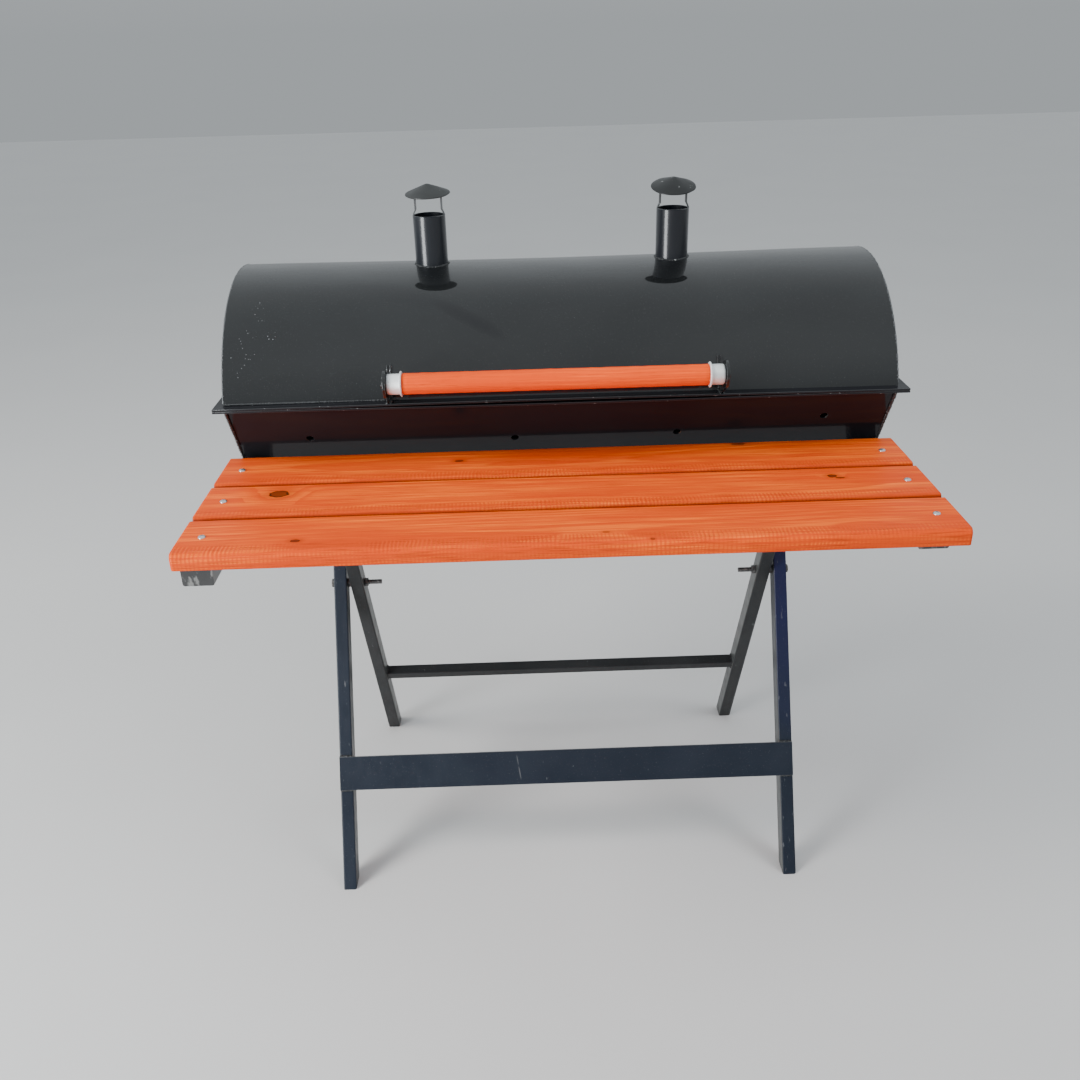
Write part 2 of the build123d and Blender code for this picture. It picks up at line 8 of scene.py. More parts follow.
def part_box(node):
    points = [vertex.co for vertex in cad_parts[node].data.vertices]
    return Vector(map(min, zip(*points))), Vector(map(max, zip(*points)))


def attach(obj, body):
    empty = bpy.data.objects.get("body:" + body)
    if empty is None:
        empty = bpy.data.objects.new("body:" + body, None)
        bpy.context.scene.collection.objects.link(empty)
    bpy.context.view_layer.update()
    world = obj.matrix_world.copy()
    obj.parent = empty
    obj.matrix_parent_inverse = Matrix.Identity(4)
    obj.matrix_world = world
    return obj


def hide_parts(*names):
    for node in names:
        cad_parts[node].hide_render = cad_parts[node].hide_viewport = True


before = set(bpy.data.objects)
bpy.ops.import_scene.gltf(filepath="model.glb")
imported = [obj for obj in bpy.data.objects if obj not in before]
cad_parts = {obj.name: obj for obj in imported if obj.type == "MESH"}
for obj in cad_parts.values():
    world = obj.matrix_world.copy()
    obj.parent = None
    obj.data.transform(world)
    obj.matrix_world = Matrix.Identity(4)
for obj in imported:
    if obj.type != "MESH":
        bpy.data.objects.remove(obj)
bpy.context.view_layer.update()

# ------------------------------------------------------------------ where the grill stands
# A pale plain floor under a sky that is dimmer at the horizon. A tall soft lamp to the left
# draws a broad light line down the chimneys, and two high lamps light the shelf.


def add(tree, kind, inputs=None, **settings):
    """Adds a node to a tree, sets it up and joins its inputs."""
    node = tree.nodes.new(kind)
    for key, value in settings.items():
        setattr(node, key, value)
    for key, value in (inputs or {}).items():
        if isinstance(value, bpy.types.NodeSocket):
            tree.links.new(value, node.inputs[key])
        else:
            node.inputs[key].default_value = value
    return node


def made(kind, inputs, output=0, **settings):
    """Adds a node to the tree that its inputs come from and gives one of its outputs."""
    tree = next(v.id_data for v in inputs.values() if isinstance(v, bpy.types.NodeSocket))
    return add(tree, kind, inputs, **settings).outputs[output]


def maths(operation, first, second=0.0):
    return made("ShaderNodeMath", {0: first, 1: second}, operation=operation)


def times(first, *others):
    for other in others:
        first = maths("MULTIPLY", first, other)
    return first


def plus(first, second):
    return maths("ADD", first, second)


def minus(first, second):
    return maths("SUBTRACT", first, second)


def vector_maths(operation, first, second=(0.0, 0.0, 0.0)):
    output = 1 if operation in ("LENGTH", "DOT_PRODUCT") else 0
    return made("ShaderNodeVectorMath", {0: first, 1: second}, output, operation=operation)


def coordinate(place, axis):
    """One of a place's three coordinates; axis is 0, 1 or 2."""
    return made("ShaderNodeSeparateXYZ", {0: place}, axis)


def noise_at(place, scale, detail=2.0, stretch=None):
    """Smooth noise with about scale lumps to the metre, squeezed along each axis by stretch."""
    if stretch:
        place = vector_maths("MULTIPLY", place, stretch)
    return made("ShaderNodeTexNoise", {"Vector": place, "Scale": scale, "Detail": detail})


def between(value, low, high, start=0.0, end=1.0):
    """Runs from start to end while the value runs from low to high."""
    return made("ShaderNodeMapRange", {0: value, 1: low, 2: high, 3: start, 4: end})


def mix(share, first, second):
    """The first colour, turned into the second by share."""
    first, second = [(*c, 1) if isinstance(c, tuple) else c for c in (first, second)]
    return made("ShaderNodeMix", {0: share, 6: first, 7: second}, 2, data_type="RGBA")


def new_finish(name, **constants):
    """A material with its shader's plain values set; gives its shader and object coordinates too."""
    material = bpy.data.materials.new(name)
    material.use_nodes = True
    shader = material.node_tree.nodes["Principled BSDF"]
    for socket, value in constants.items():
        shader.inputs[socket.replace("_", " ")].default_value = value
    place = add(material.node_tree, "ShaderNodeTexCoord").outputs["Object"]
    return material, shader, place


def join(shader, colour, roughness, height=None, depth=0.0001, strength=1.0):
    """Leads the worked-out colour, roughness and relief into the shader."""
    links = shader.id_data.links
    links.new(colour, shader.inputs["Base Color"])
    links.new(roughness, shader.inputs["Roughness"])
    if height is not None:
        relief = {"Strength": strength, "Distance": depth, "Height": height}
        links.new(made("ShaderNodeBump", relief), shader.inputs["Normal"])


eye = Vector((-0.0517, -1.5198, 1.3803))
pitch, yaw, roll = radians(26.53), radians(0.59), radians(-1.59)
ahead = Vector((sin(yaw) * cos(pitch), cos(yaw) * cos(pitch), -sin(pitch)))
level_right = Vector((cos(yaw), -sin(yaw), 0))
level_up = level_right.cross(ahead)
right = level_right * cos(roll) + level_up * sin(roll)
up = level_up * cos(roll) - level_right * sin(roll)
turn = Matrix((right, up, -ahead)).transposed().to_4x4()

camera_data = bpy.data.cameras.new("camera")
camera_data.lens = 34.48
camera_data.sensor_width = 36.0
camera = bpy.data.objects.new("camera", camera_data)
camera.matrix_world = Matrix.Translation(eye) @ turn
bpy.context.collection.objects.link(camera)
bpy.context.scene.camera = camera

sky_colour = (0.90, 0.96, 1.0, 1.0)
horizon_strength, zenith_strength = 0.42, 0.94
full_strength_at = 0.7
world = bpy.data.worlds.new("even_sky")
world.use_nodes = True
background = world.node_tree.nodes["Background"]
background.inputs["Color"].default_value = sky_colour
sky_place = add(world.node_tree, "ShaderNodeTexCoord").outputs["Generated"]
sky_strength = between(coordinate(sky_place, 2), 0.0, full_strength_at, horizon_strength, zenith_strength)
world.node_tree.links.new(sky_strength, background.inputs["Strength"])
bpy.context.scene.world = world


def soft_lamp(name, place, target, size, power, colour, mirrored=True):
    """A flat lamp of size (width, height) at a place, facing a target; gloss may leave it out."""
    lamp = bpy.data.lights.new(name, "AREA")
    lamp.shape = "RECTANGLE"
    lamp.size, lamp.size_y = size
    lamp.energy = power
    lamp.color = colour
    holder = bpy.data.objects.new(name, lamp)
    way = Vector(target) - Vector(place)
    holder.matrix_world = Matrix.Translation(place) @ way.to_track_quat("-Z", "Y").to_matrix().to_4x4()
    holder.visible_glossy = mirrored
    bpy.context.collection.objects.link(holder)


soft_lamp("tall_left_lamp", (-2.4, -1.9, 1.1), (-0.1, 0.1, 1.0), (1.1, 2.0), 112, (0.95, 0.98, 1.0))
soft_lamp("high_left_lamp", (-3.2, -1.2, 3.4), (0.0, 0.0, 0.8), (1.6, 1.6), 155, (1.0, 0.97, 0.93), False)
soft_lamp("high_right_lamp", (2.6, -1.4, 3.2), (0.1, -0.2, 0.7), (1.6, 1.6), 70, (0.97, 0.98, 1.0), False)

floor_side = 30.0
floor_finish, floor_shader, floor_place = new_finish("pale_floor", Specular_IOR_Level=0.2)
floor_cloud = noise_at(floor_place, 1.5, 3)
floor_colour = mix(floor_cloud, (0.52, 0.52, 0.52), (0.56, 0.56, 0.555))
join(floor_shader, floor_colour, between(floor_cloud, 0, 1, 0.6, 0.75))
floor_work = bmesh.new()
bmesh.ops.create_grid(floor_work, x_segments=2, y_segments=2, size=floor_side / 2)
floor_mesh = bpy.data.meshes.new("floor")
floor_work.to_mesh(floor_mesh)
floor_mesh.materials.append(floor_finish)
floor = bpy.data.objects.new("floor", floor_mesh)
bpy.context.collection.objects.link(floor)

# ------------------------------------------------------------------ firebox plates
# Two sloping long plates, a floor plate and two ends cut from 3 mm steel, welded into
# a trough and brushed with gloss black enamel outside. The inside is bare and sooted.

rim_low, rim_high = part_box("firebox_flange_left")
middle_y = (rim_low.y + rim_high.y) / 2
firebox_core = Vector((0, middle_y, 0.87))
eased_edge = 0.0006
soft_turn = radians(38)
corner_turn = radians(80)
parallel = 0.999
facing_core = 0.35


def enamel(name, thick, thin, gloss, coat, brush=(1, 1, 1), chips=0.0, base_gloss=0.3, coat_blur=0.05):
    """Brushed-on enamel, dark where it is thick, thin in clouds, with strokes, peel and chips."""
    constants = {"Coat_Weight": coat, "Coat_Roughness": coat_blur, "Specular_IOR_Level": base_gloss}
    material, shader, place = new_finish(name, **constants)
    clouds = noise_at(place, 4, 4)
    strokes = noise_at(place, 45, 3, brush)
    peel = noise_at(place, 420, 1)
    colour = mix(between(clouds, 0.35, 0.65), thick, thin)
    roughness = between(strokes, 0.3, 0.7, gloss, gloss * 1.5)
    if chips:
        spots = noise_at(place, 190, 4)
        bare = between(spots, 0.78 - chips, 0.80 - chips)
        colour = mix(bare, colour, (0.22, 0.23, 0.23))
        roughness = maths("MAXIMUM", roughness, times(bare, 0.5))
    height = plus(times(strokes, 0.7), times(peel, 0.3))
    join(shader, colour, roughness, height, 0.00012, 0.5)
    return material


def sooted_steel():
    """Bare plate inside the grill: mill scale, soot and a little orange rust."""
    material, shader, place = new_finish("sooted_steel", Specular_IOR_Level=0.3)
    clouds = noise_at(place, 9, 5)
    rust = between(noise_at(place, 26, 5), 0.58, 0.70)
    colour = mix(clouds, (0.018, 0.017, 0.017), (0.05, 0.047, 0.044))
    colour = mix(times(rust, 0.6), colour, (0.13, 0.045, 0.018))
    roughness = between(clouds, 0.3, 0.7, 0.55, 0.9)
    join(shader, colour, roughness, noise_at(place, 260, 3), 0.0002, 0.6)
    return material


def turned_edges(work, turn):
    """The edges where two faces meet at more than a turn."""
    return [e for e in work.edges if len(e.link_faces) == 2 and e.calc_face_angle() > turn]


def round_off(work, edges, by, segments, material):
    bmesh.ops.bevel(work, geom=edges, offset=by, segments=segments, profile=0.5,
                    affect="EDGES", clamp_overlap=True, material=material)


def pooled(name, works, *finishes):
    """One mesh, with its finishes, from several work shapes."""
    whole = bmesh.new()
    for work in works:
        part = bpy.data.meshes.new("part")
        work.to_mesh(part)
        work.free()
        whole.from_mesh(part)
        bpy.data.meshes.remove(part)
    mesh = bpy.data.meshes.new(name)
    whole.to_mesh(mesh)
    whole.free()
    for finish in finishes:
        mesh.materials.append(finish)
    return mesh


def steel_piece(name, nodes, body, paint, edge, inside=None, core=None, along=None,
                corner=0.0, ease=eased_edge, shape=None):
    """A worked copy of CAD pieces: flat faces joined, long corners rounded and sharp edges eased.

    The eased edges take the edge paint, and faces that look towards core take the inside finish.
    """
    works = []
    for node in nodes:
        work = bmesh.new()
        work.from_mesh(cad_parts[node].data)
        bmesh.ops.remove_doubles(work, verts=work.verts, dist=1e-6)
        bmesh.ops.dissolve_limit(work, angle_limit=radians(0.5), verts=work.verts, edges=work.edges)
        for face in work.faces:
            face.material_index = 0
        if corner:
            long_edges = [e for e in turned_edges(work, corner_turn)
                          if abs((e.verts[0].co - e.verts[1].co).normalized().dot(along)) > parallel]
            round_off(work, long_edges, corner, 3, 3)
        if ease:
            round_off(work, turned_edges(work, soft_turn), ease, 2, 1)
        if inside:
            for face in work.faces:
                towards = core - face.calc_center_median()
                if face.material_index == 0 and face.normal.dot(towards.normalized()) > facing_core:
                    face.material_index = 2
        if shape:
            shape(work)
        for e in work.edges:
            kinds = {face.material_index for face in e.link_faces}
            e.smooth = len(kinds) == 1 and e.calc_face_angle(0) < soft_turn
        for face in work.faces:
            face.smooth = True
            if face.material_index == 3:
                face.material_index = 0
        works.append(work)
    return settle(name, pooled(name, works, *filter(None, (paint, edge, inside))), body, nodes)


def settle(name, mesh, body, nodes=()):
    """Makes a finished mesh a piece that moves with its body and stands for its CAD pieces."""
    piece = bpy.data.objects.new(name, mesh)
    bpy.context.collection.objects.link(piece)
    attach(piece, body)
    if nodes:
        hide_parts(*nodes)
    return piece


firebox_enamel = enamel("firebox_enamel", (0.009, 0.0095, 0.012), (0.013, 0.0135, 0.016), 0.10, 0.22,
                        (1, 3, 3), base_gloss=0.05)
firebox_edge = enamel("firebox_edge", (0.014, 0.015, 0.016), (0.028, 0.029, 0.030), 0.3, 0.4, chips=0.12)
soot = sooted_steel()
firebox_plates = [(f"firebox_{plate}_plate", [f"firebox_{plate}"])
                  for plate in ("front_panel", "back_panel", "floor")]
firebox_plates.append(("firebox_end_plates", ["firebox_end_left", "firebox_end_right"]))
for name, nodes in firebox_plates:
    steel_piece(name, nodes, "firebox", firebox_enamel, firebox_edge, soot, firebox_core)

# ------------------------------------------------------------------ weld beads
# The plates are joined with stick welds: short overlapping drops of steel along each seam,
# brushed over with the same enamel. Their colour is painted lighter in clouds, a painted highlight for light
# caught on the bumps, and has chips.


def new_tree(name, **sizes):
    """An empty tree with a geometry input and one named input for each size; gives inputs by name."""
    tree = bpy.data.node_groups.new(name, "GeometryNodeTree")
    face = tree.interface
    face.new_socket("Geometry", in_out="INPUT", socket_type="NodeSocketGeometry")
    kinds = {int: "NodeSocketInt", float: "NodeSocketFloat", type(None): "NodeSocketMaterial"}
    for title, value in sizes.items():
        socket = face.new_socket(title.replace("_", " "), in_out="INPUT", socket_type=kinds[type(value)])
        if value is not None:
            socket.default_value = value
    face.new_socket("Geometry", in_out="OUTPUT", socket_type="NodeSocketGeometry")
    source = tree.nodes.new("NodeGroupInput")
    return tree, {s.name.replace(" ", "_"): s for s in source.outputs if s.name}


def end_tree(geometry, steel):
    """Ends a tree in Realize Instances and Set Material."""
    real = made("GeometryNodeRealizeInstances", {0: geometry})
    smooth = made("GeometryNodeSetShadeSmooth", {0: real})
    painted = made("GeometryNodeSetMaterial", {"Geometry": smooth, "Material": steel})
    add(painted.id_data, "NodeGroupOutput", {0: painted})


def copies(points, shape, **more):
    """A copy of a shape on each point."""
    return made("GeometryNodeInstanceOnPoints", {"Points": points, "Instance": shape, **more})


def grow(name, tree, start=None, **sizes):
    """Runs a tree once on a start mesh and gives the plain mesh that comes out."""
    holder = bpy.data.objects.new(name, start or bpy.data.meshes.new(name))
    bpy.context.collection.objects.link(holder)
    modifier = holder.modifiers.new(name, "NODES")
    modifier.node_group = tree
    for item in tree.interface.items_tree:
        key = item.name.replace(" ", "_")
        if item.in_out == "INPUT" and key in sizes:
            modifier[item.identifier] = sizes[key]
    seen = holder.evaluated_get(bpy.context.evaluated_depsgraph_get())
    mesh = bpy.data.meshes.new_from_object(seen)
    holder.modifiers.remove(modifier)
    bpy.data.objects.remove(holder)
    mesh.name = name
    mesh.set_sharp_from_angle(angle=soft_turn)
    return mesh


def seams(name, *lines):
    """A mesh of edges only, one run of them along each line of points."""
    mesh = bpy.data.meshes.new(name)
    points, edges = [], []
    for line in lines:
        edges += [(len(points) + i, len(points) + i + 1) for i in range(len(line) - 1)]
        points += [tuple(p) for p in line]
    mesh.from_pydata(points, edges, [])
    return mesh


bead_tree, bead = new_tree("stick_weld", bead_width=0.006, step=0.0026, seed=1, steel=None)
seam_line = made("GeometryNodeMeshToCurve", {0: bead["Geometry"]})
drops = made("GeometryNodeCurveToPoints", {"Curve": seam_line, "Length": bead["step"]}, mode="LENGTH")
drop_size = made("FunctionNodeRandomValue", {2: 0.72, 3: 1.12, "Seed": bead["seed"]}, 1)
drop_radius = times(bead["bead_width"], 0.5)
drop = made("GeometryNodeMeshUVSphere", {"Segments": 8, "Rings": 5, "Radius": drop_radius})
end_tree(copies(drops, drop, Scale=drop_size), bead["steel"])

# Painted highlight: the beads' lighter clouds stand for light caught on their bumps; the chips are wear.
bead_enamel = enamel("bead_enamel", (0.009, 0.010, 0.011), (0.026, 0.028, 0.030), 0.25, 0.5, chips=0.12)


def weld(name, body, slot, width, seed, *lines, finish=bead_enamel):
    """A stick weld along each line of points."""
    start = seams(name + "_seam", *lines)
    mesh = grow(name, bead_tree, start, bead_width=width, step=width * 0.42, seed=seed, steel=finish)
    return settle(name, mesh, body)


low_left, high_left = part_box("firebox_end_left")
high_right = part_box("firebox_end_right")[1]
front_top = Vector((0, low_left.y, high_left.z))
base_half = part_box("firebox_floor")[1].y - middle_y
corner_lines = []
for x in (low_left.x + 0.001, high_right.x - 0.001):
    for side in (-1, 1):
        top = Vector((x, middle_y + side * (high_left.y - middle_y), high_left.z - 0.004))
        foot = Vector((x, middle_y + side * base_half, low_left.z + 0.002))
        corner_lines.append([top, foot])
    corner_lines.append([Vector((x, middle_y + side * base_half, low_left.z)) for side in (-1, 1)])
weld("firebox_corner_welds", "firebox", "firebox_paint", 0.005, 11, *corner_lines)

# ------------------------------------------------------------------ rims
# Four 20 x 3 flat bars, mitred and welded flat round the firebox's mouth, and four more
# round the lid's. The heat of the welding bowed the two front bars apart in the middle.

front_bow = 0.0016
bow_half = 0.46
bow_step = 0.04


def bowed(way):
    """Bows a front bar up or down in the middle; way is 1 or -1."""

    def shape(work):
        if max(v.co.y for v in work.verts) > middle_y - 0.1:
            return
        for step in range(-11, 12):
            parts = work.verts[:] + work.edges[:] + work.faces[:]
            bmesh.ops.bisect_plane(work, geom=parts, plane_co=(step * bow_step, 0, 0), plane_no=(1, 0, 0))
        for v in work.verts:
            v.co.z += way * front_bow * max(0.0, 1 - (v.co.x / bow_half) ** 2) ** 2

    return shape


rim_sides = ("front", "back", "left", "right")
lid_enamel_edge = enamel("lid_enamel_edge", (0.013, 0.014, 0.015), (0.028, 0.030, 0.031), 0.25, 0.5,
                         chips=0.11)
steel_piece("firebox_rim", [f"firebox_flange_{side}" for side in rim_sides], "firebox",
            firebox_enamel, firebox_edge, shape=bowed(-1))
steel_piece("lid_rim", [f"lid_flange_{side}" for side in rim_sides], "lid",
            firebox_enamel, lid_enamel_edge, shape=bowed(1))

# ------------------------------------------------------------------ lid hinges
# Two pin hinges at the back, each of three turned barrels on short leaves: the outer two
# are welded to the firebox's rim and the middle one to the lid's. Stops hold the open lid.

hinge_enamel = enamel("hinge_enamel", (0.018, 0.018, 0.02), (0.035, 0.035, 0.037), 0.35, 0.2, chips=0.10)
hinge_edge = enamel("hinge_edge", (0.10, 0.10, 0.10), (0.2, 0.2, 0.2), 0.4, 0.0, chips=0.22)
for name, node, body, paint in (
        ("hinge_barrels_lower", "hinge_barrels_firebox", "firebox", hinge_enamel),
        ("hinge_barrels_upper", "hinge_barrels_lid", "lid", hinge_enamel),
        ("hinge_pins_turned", "hinge_pins", "firebox", hinge_edge)):
    steel_piece(name, [node], body, paint, hinge_edge, ease=0.0004)
steel_piece("lid_stop_plates", ["lid_stops"], "lid", firebox_enamel, lid_enamel_edge)

# ------------------------------------------------------------------ grates
# Two drop-in cooking grates of drawn wire: thin cross wires spot-welded over three thick
# long ones. They lie on a narrow flat bar welded along each long plate.

steel_piece("grate_ledge_bars", ["grate_ledges"], "firebox", soot, soot)

grate_tree, grate = new_tree("wire_grate", length=0.438, half_depth=0.19, wire=0.005, frame_wire=0.008,
                             pitch=0.02, wires=22, steel=None)
quarter = (pi / 2, 0.0, 0.0)
side_turn = (0.0, pi / 2, 0.0)


def wire_run(radius, length, rotation, count, first, spacing):
    """A row of straight wires, count of them, from first and spacing apart."""
    rod = made("GeometryNodeMeshCylinder", {"Vertices": 10, "Radius": radius, "Depth": length})
    laid = made("GeometryNodeTransform", {"Geometry": rod, "Rotation": rotation})
    places = made("GeometryNodeMeshLine", {"Count": count, "Start Location": first, "Offset": spacing})
    return copies(places, laid)


def vector(x=0.0, y=0.0, z=0.0):
    return made("ShaderNodeCombineXYZ", {0: x, 1: y, 2: z})


def together(*geometry):
    """One geometry from what comes out of several nodes."""
    joined = add(geometry[0].id_data, "GeometryNodeJoinGeometry")
    for one in geometry:
        one.id_data.links.new(one, joined.inputs[0])
    return joined.outputs[0]


half_wire = times(grate["wire"], 0.5)
half_frame_wire = times(grate["frame_wire"], 0.5)
first_x = times(minus(grate["wires"], 1.0), grate["pitch"], -0.5)
weld_sink = 0.001
wire_rise = minus(plus(half_wire, half_frame_wire), weld_sink)
frame_out = minus(grate["half_depth"], grate["frame_wire"])
cross_wires = wire_run(half_wire, times(grate["half_depth"], 2.0), quarter, grate["wires"],
                       vector(first_x, 0.0, wire_rise), vector(grate["pitch"]))
frame_wires = wire_run(half_frame_wire, grate["length"], side_turn, 3,
                       vector(0.0, times(frame_out, -1.0), 0.0), vector(0.0, frame_out))
end_tree(together(cross_wires, frame_wires), grate["steel"])


def metal(name, lumps, span, first, second, gloss, grain, depth, **constants):
    """Metal whose colour and roughness follow lumps (scale, detail), with a fine grain for relief."""
    material, shader, place = new_finish(name, **constants)
    tone = noise_at(place, *lumps)
    colour = mix(between(tone, *span), first, second)
    join(shader, colour, between(tone, 0.3, 0.7, *gloss), noise_at(place, grain, 2), depth)
    return material


wire_steel = metal("drawn_wire", (14, 4), (0.4, 0.62), (0.34, 0.33, 0.31), (0.10, 0.08, 0.065),
                   (0.3, 0.6), 900, 0.00005, Metallic=1.0)
for end in ("left", "right"):
    node = f"cooking_grate_{end}"
    low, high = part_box(node)
    half_depth = (high.y - low.y) / 2
    frame_level = low.z + 0.004
    mesh = grow(node + "_wires", grate_tree, length=high.x - low.x, half_depth=half_depth, steel=wire_steel)
    mesh.transform(Matrix.Translation(((low.x + high.x) / 2, middle_y, frame_level)))
    settle(node + "_wires", mesh, f"grate_{end}", [node])

# ------------------------------------------------------------------ lid shell
# One sheet of 2 mm steel rolled to a half barrel and welded to its two ends and to the rim.
# It sags a little between the ends, has two holes for the chimneys and a high gloss.

shell_low, shell_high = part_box("lid_shell")
shell_radius = 0.229
shell_centre = shell_high.z - shell_radius
shell_length = shell_high.x - shell_low.x
shell_sheet = 0.002
shell_sag = 0.0034
seat_angle = asin((shell_low.z - shell_centre) / shell_radius)
ends = ("left", "right")


def middle_of(node, axis="x"):
    """The middle of a CAD piece along an axis."""
    low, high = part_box(node)
    return (getattr(low, axis) + getattr(high, axis)) / 2


chimney_places = [middle_of(f"chimney_pipe_{end}") for end in ends]


def lid_point(x, angle, proud=0.0):
    """A point on the lid at x; the angle runs from 0 in front over 90 degrees at the top."""
    sag = shell_sag * (1 - (2 * x / shell_length) ** 2) ** 2 * sin(angle) ** 2
    reach = shell_radius - sag + proud
    return Vector((x, middle_y - reach * cos(angle), shell_centre + reach * sin(angle)))


shell_tree, shell = new_tree("rolled_lid", length=0.974, radius=0.229, centre_height=0.823, centre_line=0.123,
                             seat_angle=0.34, sheet=0.002, sag=0.0034, dents=0.0004, hole=0.02506,
                             first_hole=-0.187, hole_spacing=0.37, paint=None, inner_paint=None)


flat_sheet = made("GeometryNodeMeshGrid",
                  {"Size X": shell["length"], "Size Y": 1.0, "Vertices X": 181, "Vertices Y": 121})
grid_place = add(shell_tree, "GeometryNodeInputPosition").outputs[0]
grid_x, grid_y = coordinate(grid_place, 0), coordinate(grid_place, 1)
half_turn = minus(pi, times(shell["seat_angle"], 2.0))
rolled_by = plus(times(plus(grid_y, 0.5), half_turn), shell["seat_angle"])
reach_y, reach_z = maths("COSINE", rolled_by), maths("SINE", rolled_by)
along_share = maths("DIVIDE", times(grid_x, 2.0), shell["length"])
middle_share = minus(1.0, times(along_share, along_share))
middle_share = times(middle_share, middle_share)
sag_here = times(shell["sag"], middle_share, times(reach_z, reach_z))
dent = minus(noise_at(vector(grid_x, times(grid_y, 0.7), 0.3), 4.5, 1), 0.5)
dent_here = times(dent, shell["dents"], times(middle_share, 2.0))
here = plus(minus(shell["radius"], sag_here), dent_here)
rolled_place = vector(grid_x, minus(shell["centre_line"], times(here, reach_y)),
                      plus(shell["centre_height"], times(here, reach_z)))
rolled = made("GeometryNodeSetPosition", {"Geometry": flat_sheet, "Position": rolled_place})
outer_skin = made("GeometryNodeSetMaterial", {"Geometry": rolled, "Material": shell["paint"]})
turned_in = made("GeometryNodeFlipFaces", {0: rolled})
inner_wall = made("GeometryNodeExtrudeMesh",
                  {"Mesh": turned_in, "Offset Scale": shell["sheet"], "Individual": False})
inner_skin = made("GeometryNodeSetMaterial", {"Geometry": inner_wall, "Material": shell["inner_paint"]})
both_skins = together(inner_skin, outer_skin)
closed = made("GeometryNodeMergeByDistance", {"Geometry": both_skins, "Distance": 1e-5})
drill = made("GeometryNodeMeshCylinder", {"Vertices": 48, "Radius": shell["hole"], "Depth": 0.12})
shell_top = plus(shell["centre_height"], shell["radius"])
drill_first = vector(shell["first_hole"], shell["centre_line"], shell_top)
drill_places = made("GeometryNodeMeshLine",
                    {"Count": 2, "Start Location": drill_first, "Offset": vector(shell["hole_spacing"])})
drills = made("GeometryNodeRealizeInstances", {0: copies(drill_places, drill)})
drilled = made("GeometryNodeMeshBoolean", {0: closed, 1: drills}, operation="DIFFERENCE", solver="EXACT")
add(shell_tree, "NodeGroupOutput", {0: made("GeometryNodeSetShadeSmooth", {0: drilled})})


def lid_enamel():
    """High gloss black enamel with faint wipe marks, fine dust and two dark streaks painted into its colour: a
    painted reflection.
    """
    constants = {"Coat_Weight": 1.0, "Coat_Roughness": 0.035, "Specular_IOR_Level": 0.08}
    material, shader, place = new_finish("lid_enamel", **constants)
    clouds = noise_at(place, 3.0, 4, (1, 2, 2))
    wipes = noise_at(place, 20, 4, (0.6, 2, 2))
    dust = between(noise_at(place, 700, 2), 0.66, 0.74)
    colour = mix(between(clouds, 0.35, 0.65), (0.003, 0.0035, 0.004), (0.008, 0.009, 0.0095))
    colour = mix(times(dust, 0.08), colour, (0.35, 0.36, 0.36))
    for first, last, width, depth in streaks:
        colour = mix(streak(place, first, last, width, depth), colour, (0.002, 0.002, 0.003))
    roughness = between(wipes, 0.3, 0.7, 0.30, 0.42)
    join(shader, colour, roughness, noise_at(place, 150, 2), 0.00006, 0.35)
    return material


def streak(place, first, last, width, depth):
    """How deep a soft streak between two points is here."""
    first, last = Vector(first), Vector(last)
    middle = (first + last) / 2
    along = (last - first) / 2
    offset = vector_maths("SUBTRACT", place, middle)
    run = vector_maths("DOT_PRODUCT", offset, along.normalized())
    reach = vector_maths("LENGTH", offset)
    off_line = minus(times(reach, reach), times(run, run))
    wide = maths("DIVIDE", off_line, width * width)
    far = maths("POWER", maths("ABSOLUTE", maths("DIVIDE", run, along.length)), 3.0)
    return between(plus(wide, far), 0.0, 1.0, depth, 0.0)


# Painted reflection: two dark streaks in the lid's colour stand for a dark reflection in its gloss.
streaks = [
    (lid_point(-0.33, radians(72)), lid_point(-0.16, radians(57)), 0.022, 0.35),
    (lid_point(-0.19, radians(60)), lid_point(-0.075, radians(41)), 0.014, 0.8),
]
gloss_black = lid_enamel()
shell_mesh = grow("lid_shell_rolled", shell_tree, length=shell_length, radius=shell_radius,
                  centre_height=shell_centre, centre_line=middle_y, seat_angle=seat_angle,
                  sheet=shell_sheet, sag=shell_sag, first_hole=chimney_places[0],
                  hole_spacing=chimney_places[1] - chimney_places[0], paint=gloss_black, inner_paint=soot)
settle("lid_shell_rolled", shell_mesh, "lid", ["lid_shell"])
lid_core = Vector((0, middle_y, 0.93))
steel_piece("lid_end_plates", ["lid_end_left", "lid_end_right"], "lid",
            gloss_black, lid_enamel_edge, soot, lid_core)


def arc_line(x, first, last, proud, count=60):
    """Points round the lid at x, from one angle to another in degrees."""
    return [lid_point(x, radians(first + (last - first) * i / count), proud) for i in range(count + 1)]


seat_degrees = seat_angle * 180 / pi
end_lines = [arc_line(x, seat_degrees + 1, 179 - seat_degrees, -0.0015)
             for x in (shell_low.x, shell_high.x)]
# Painted highlight: the lid's end welds take a lighter paint that stands for the light line the end edge
# catches.
rubbed_bead = enamel("rubbed_bead", (0.03, 0.032, 0.034), (0.10, 0.105, 0.11), 0.25, 0.6, chips=0.15)
weld("lid_end_welds", "lid", "black_gloss_paint", 0.0038, 21, *end_lines, finish=rubbed_bead)
front_seam = [lid_point(-0.486 + i * 0.01, seat_angle + 0.006, 0.0005) for i in range(26)]
back_seam = [lid_point(-0.48 + i * 0.02, pi - seat_angle - 0.006, 0.0005) for i in range(49)]
weld("lid_seat_welds", "lid", "black_gloss_paint", 0.0034, 22, front_seam, back_seam)

# ------------------------------------------------------------------ weld spatter
# Drops of steel that flew off while the left end was welded and froze onto the sheet.
# The paint is thin on them, so they show as small light specks.

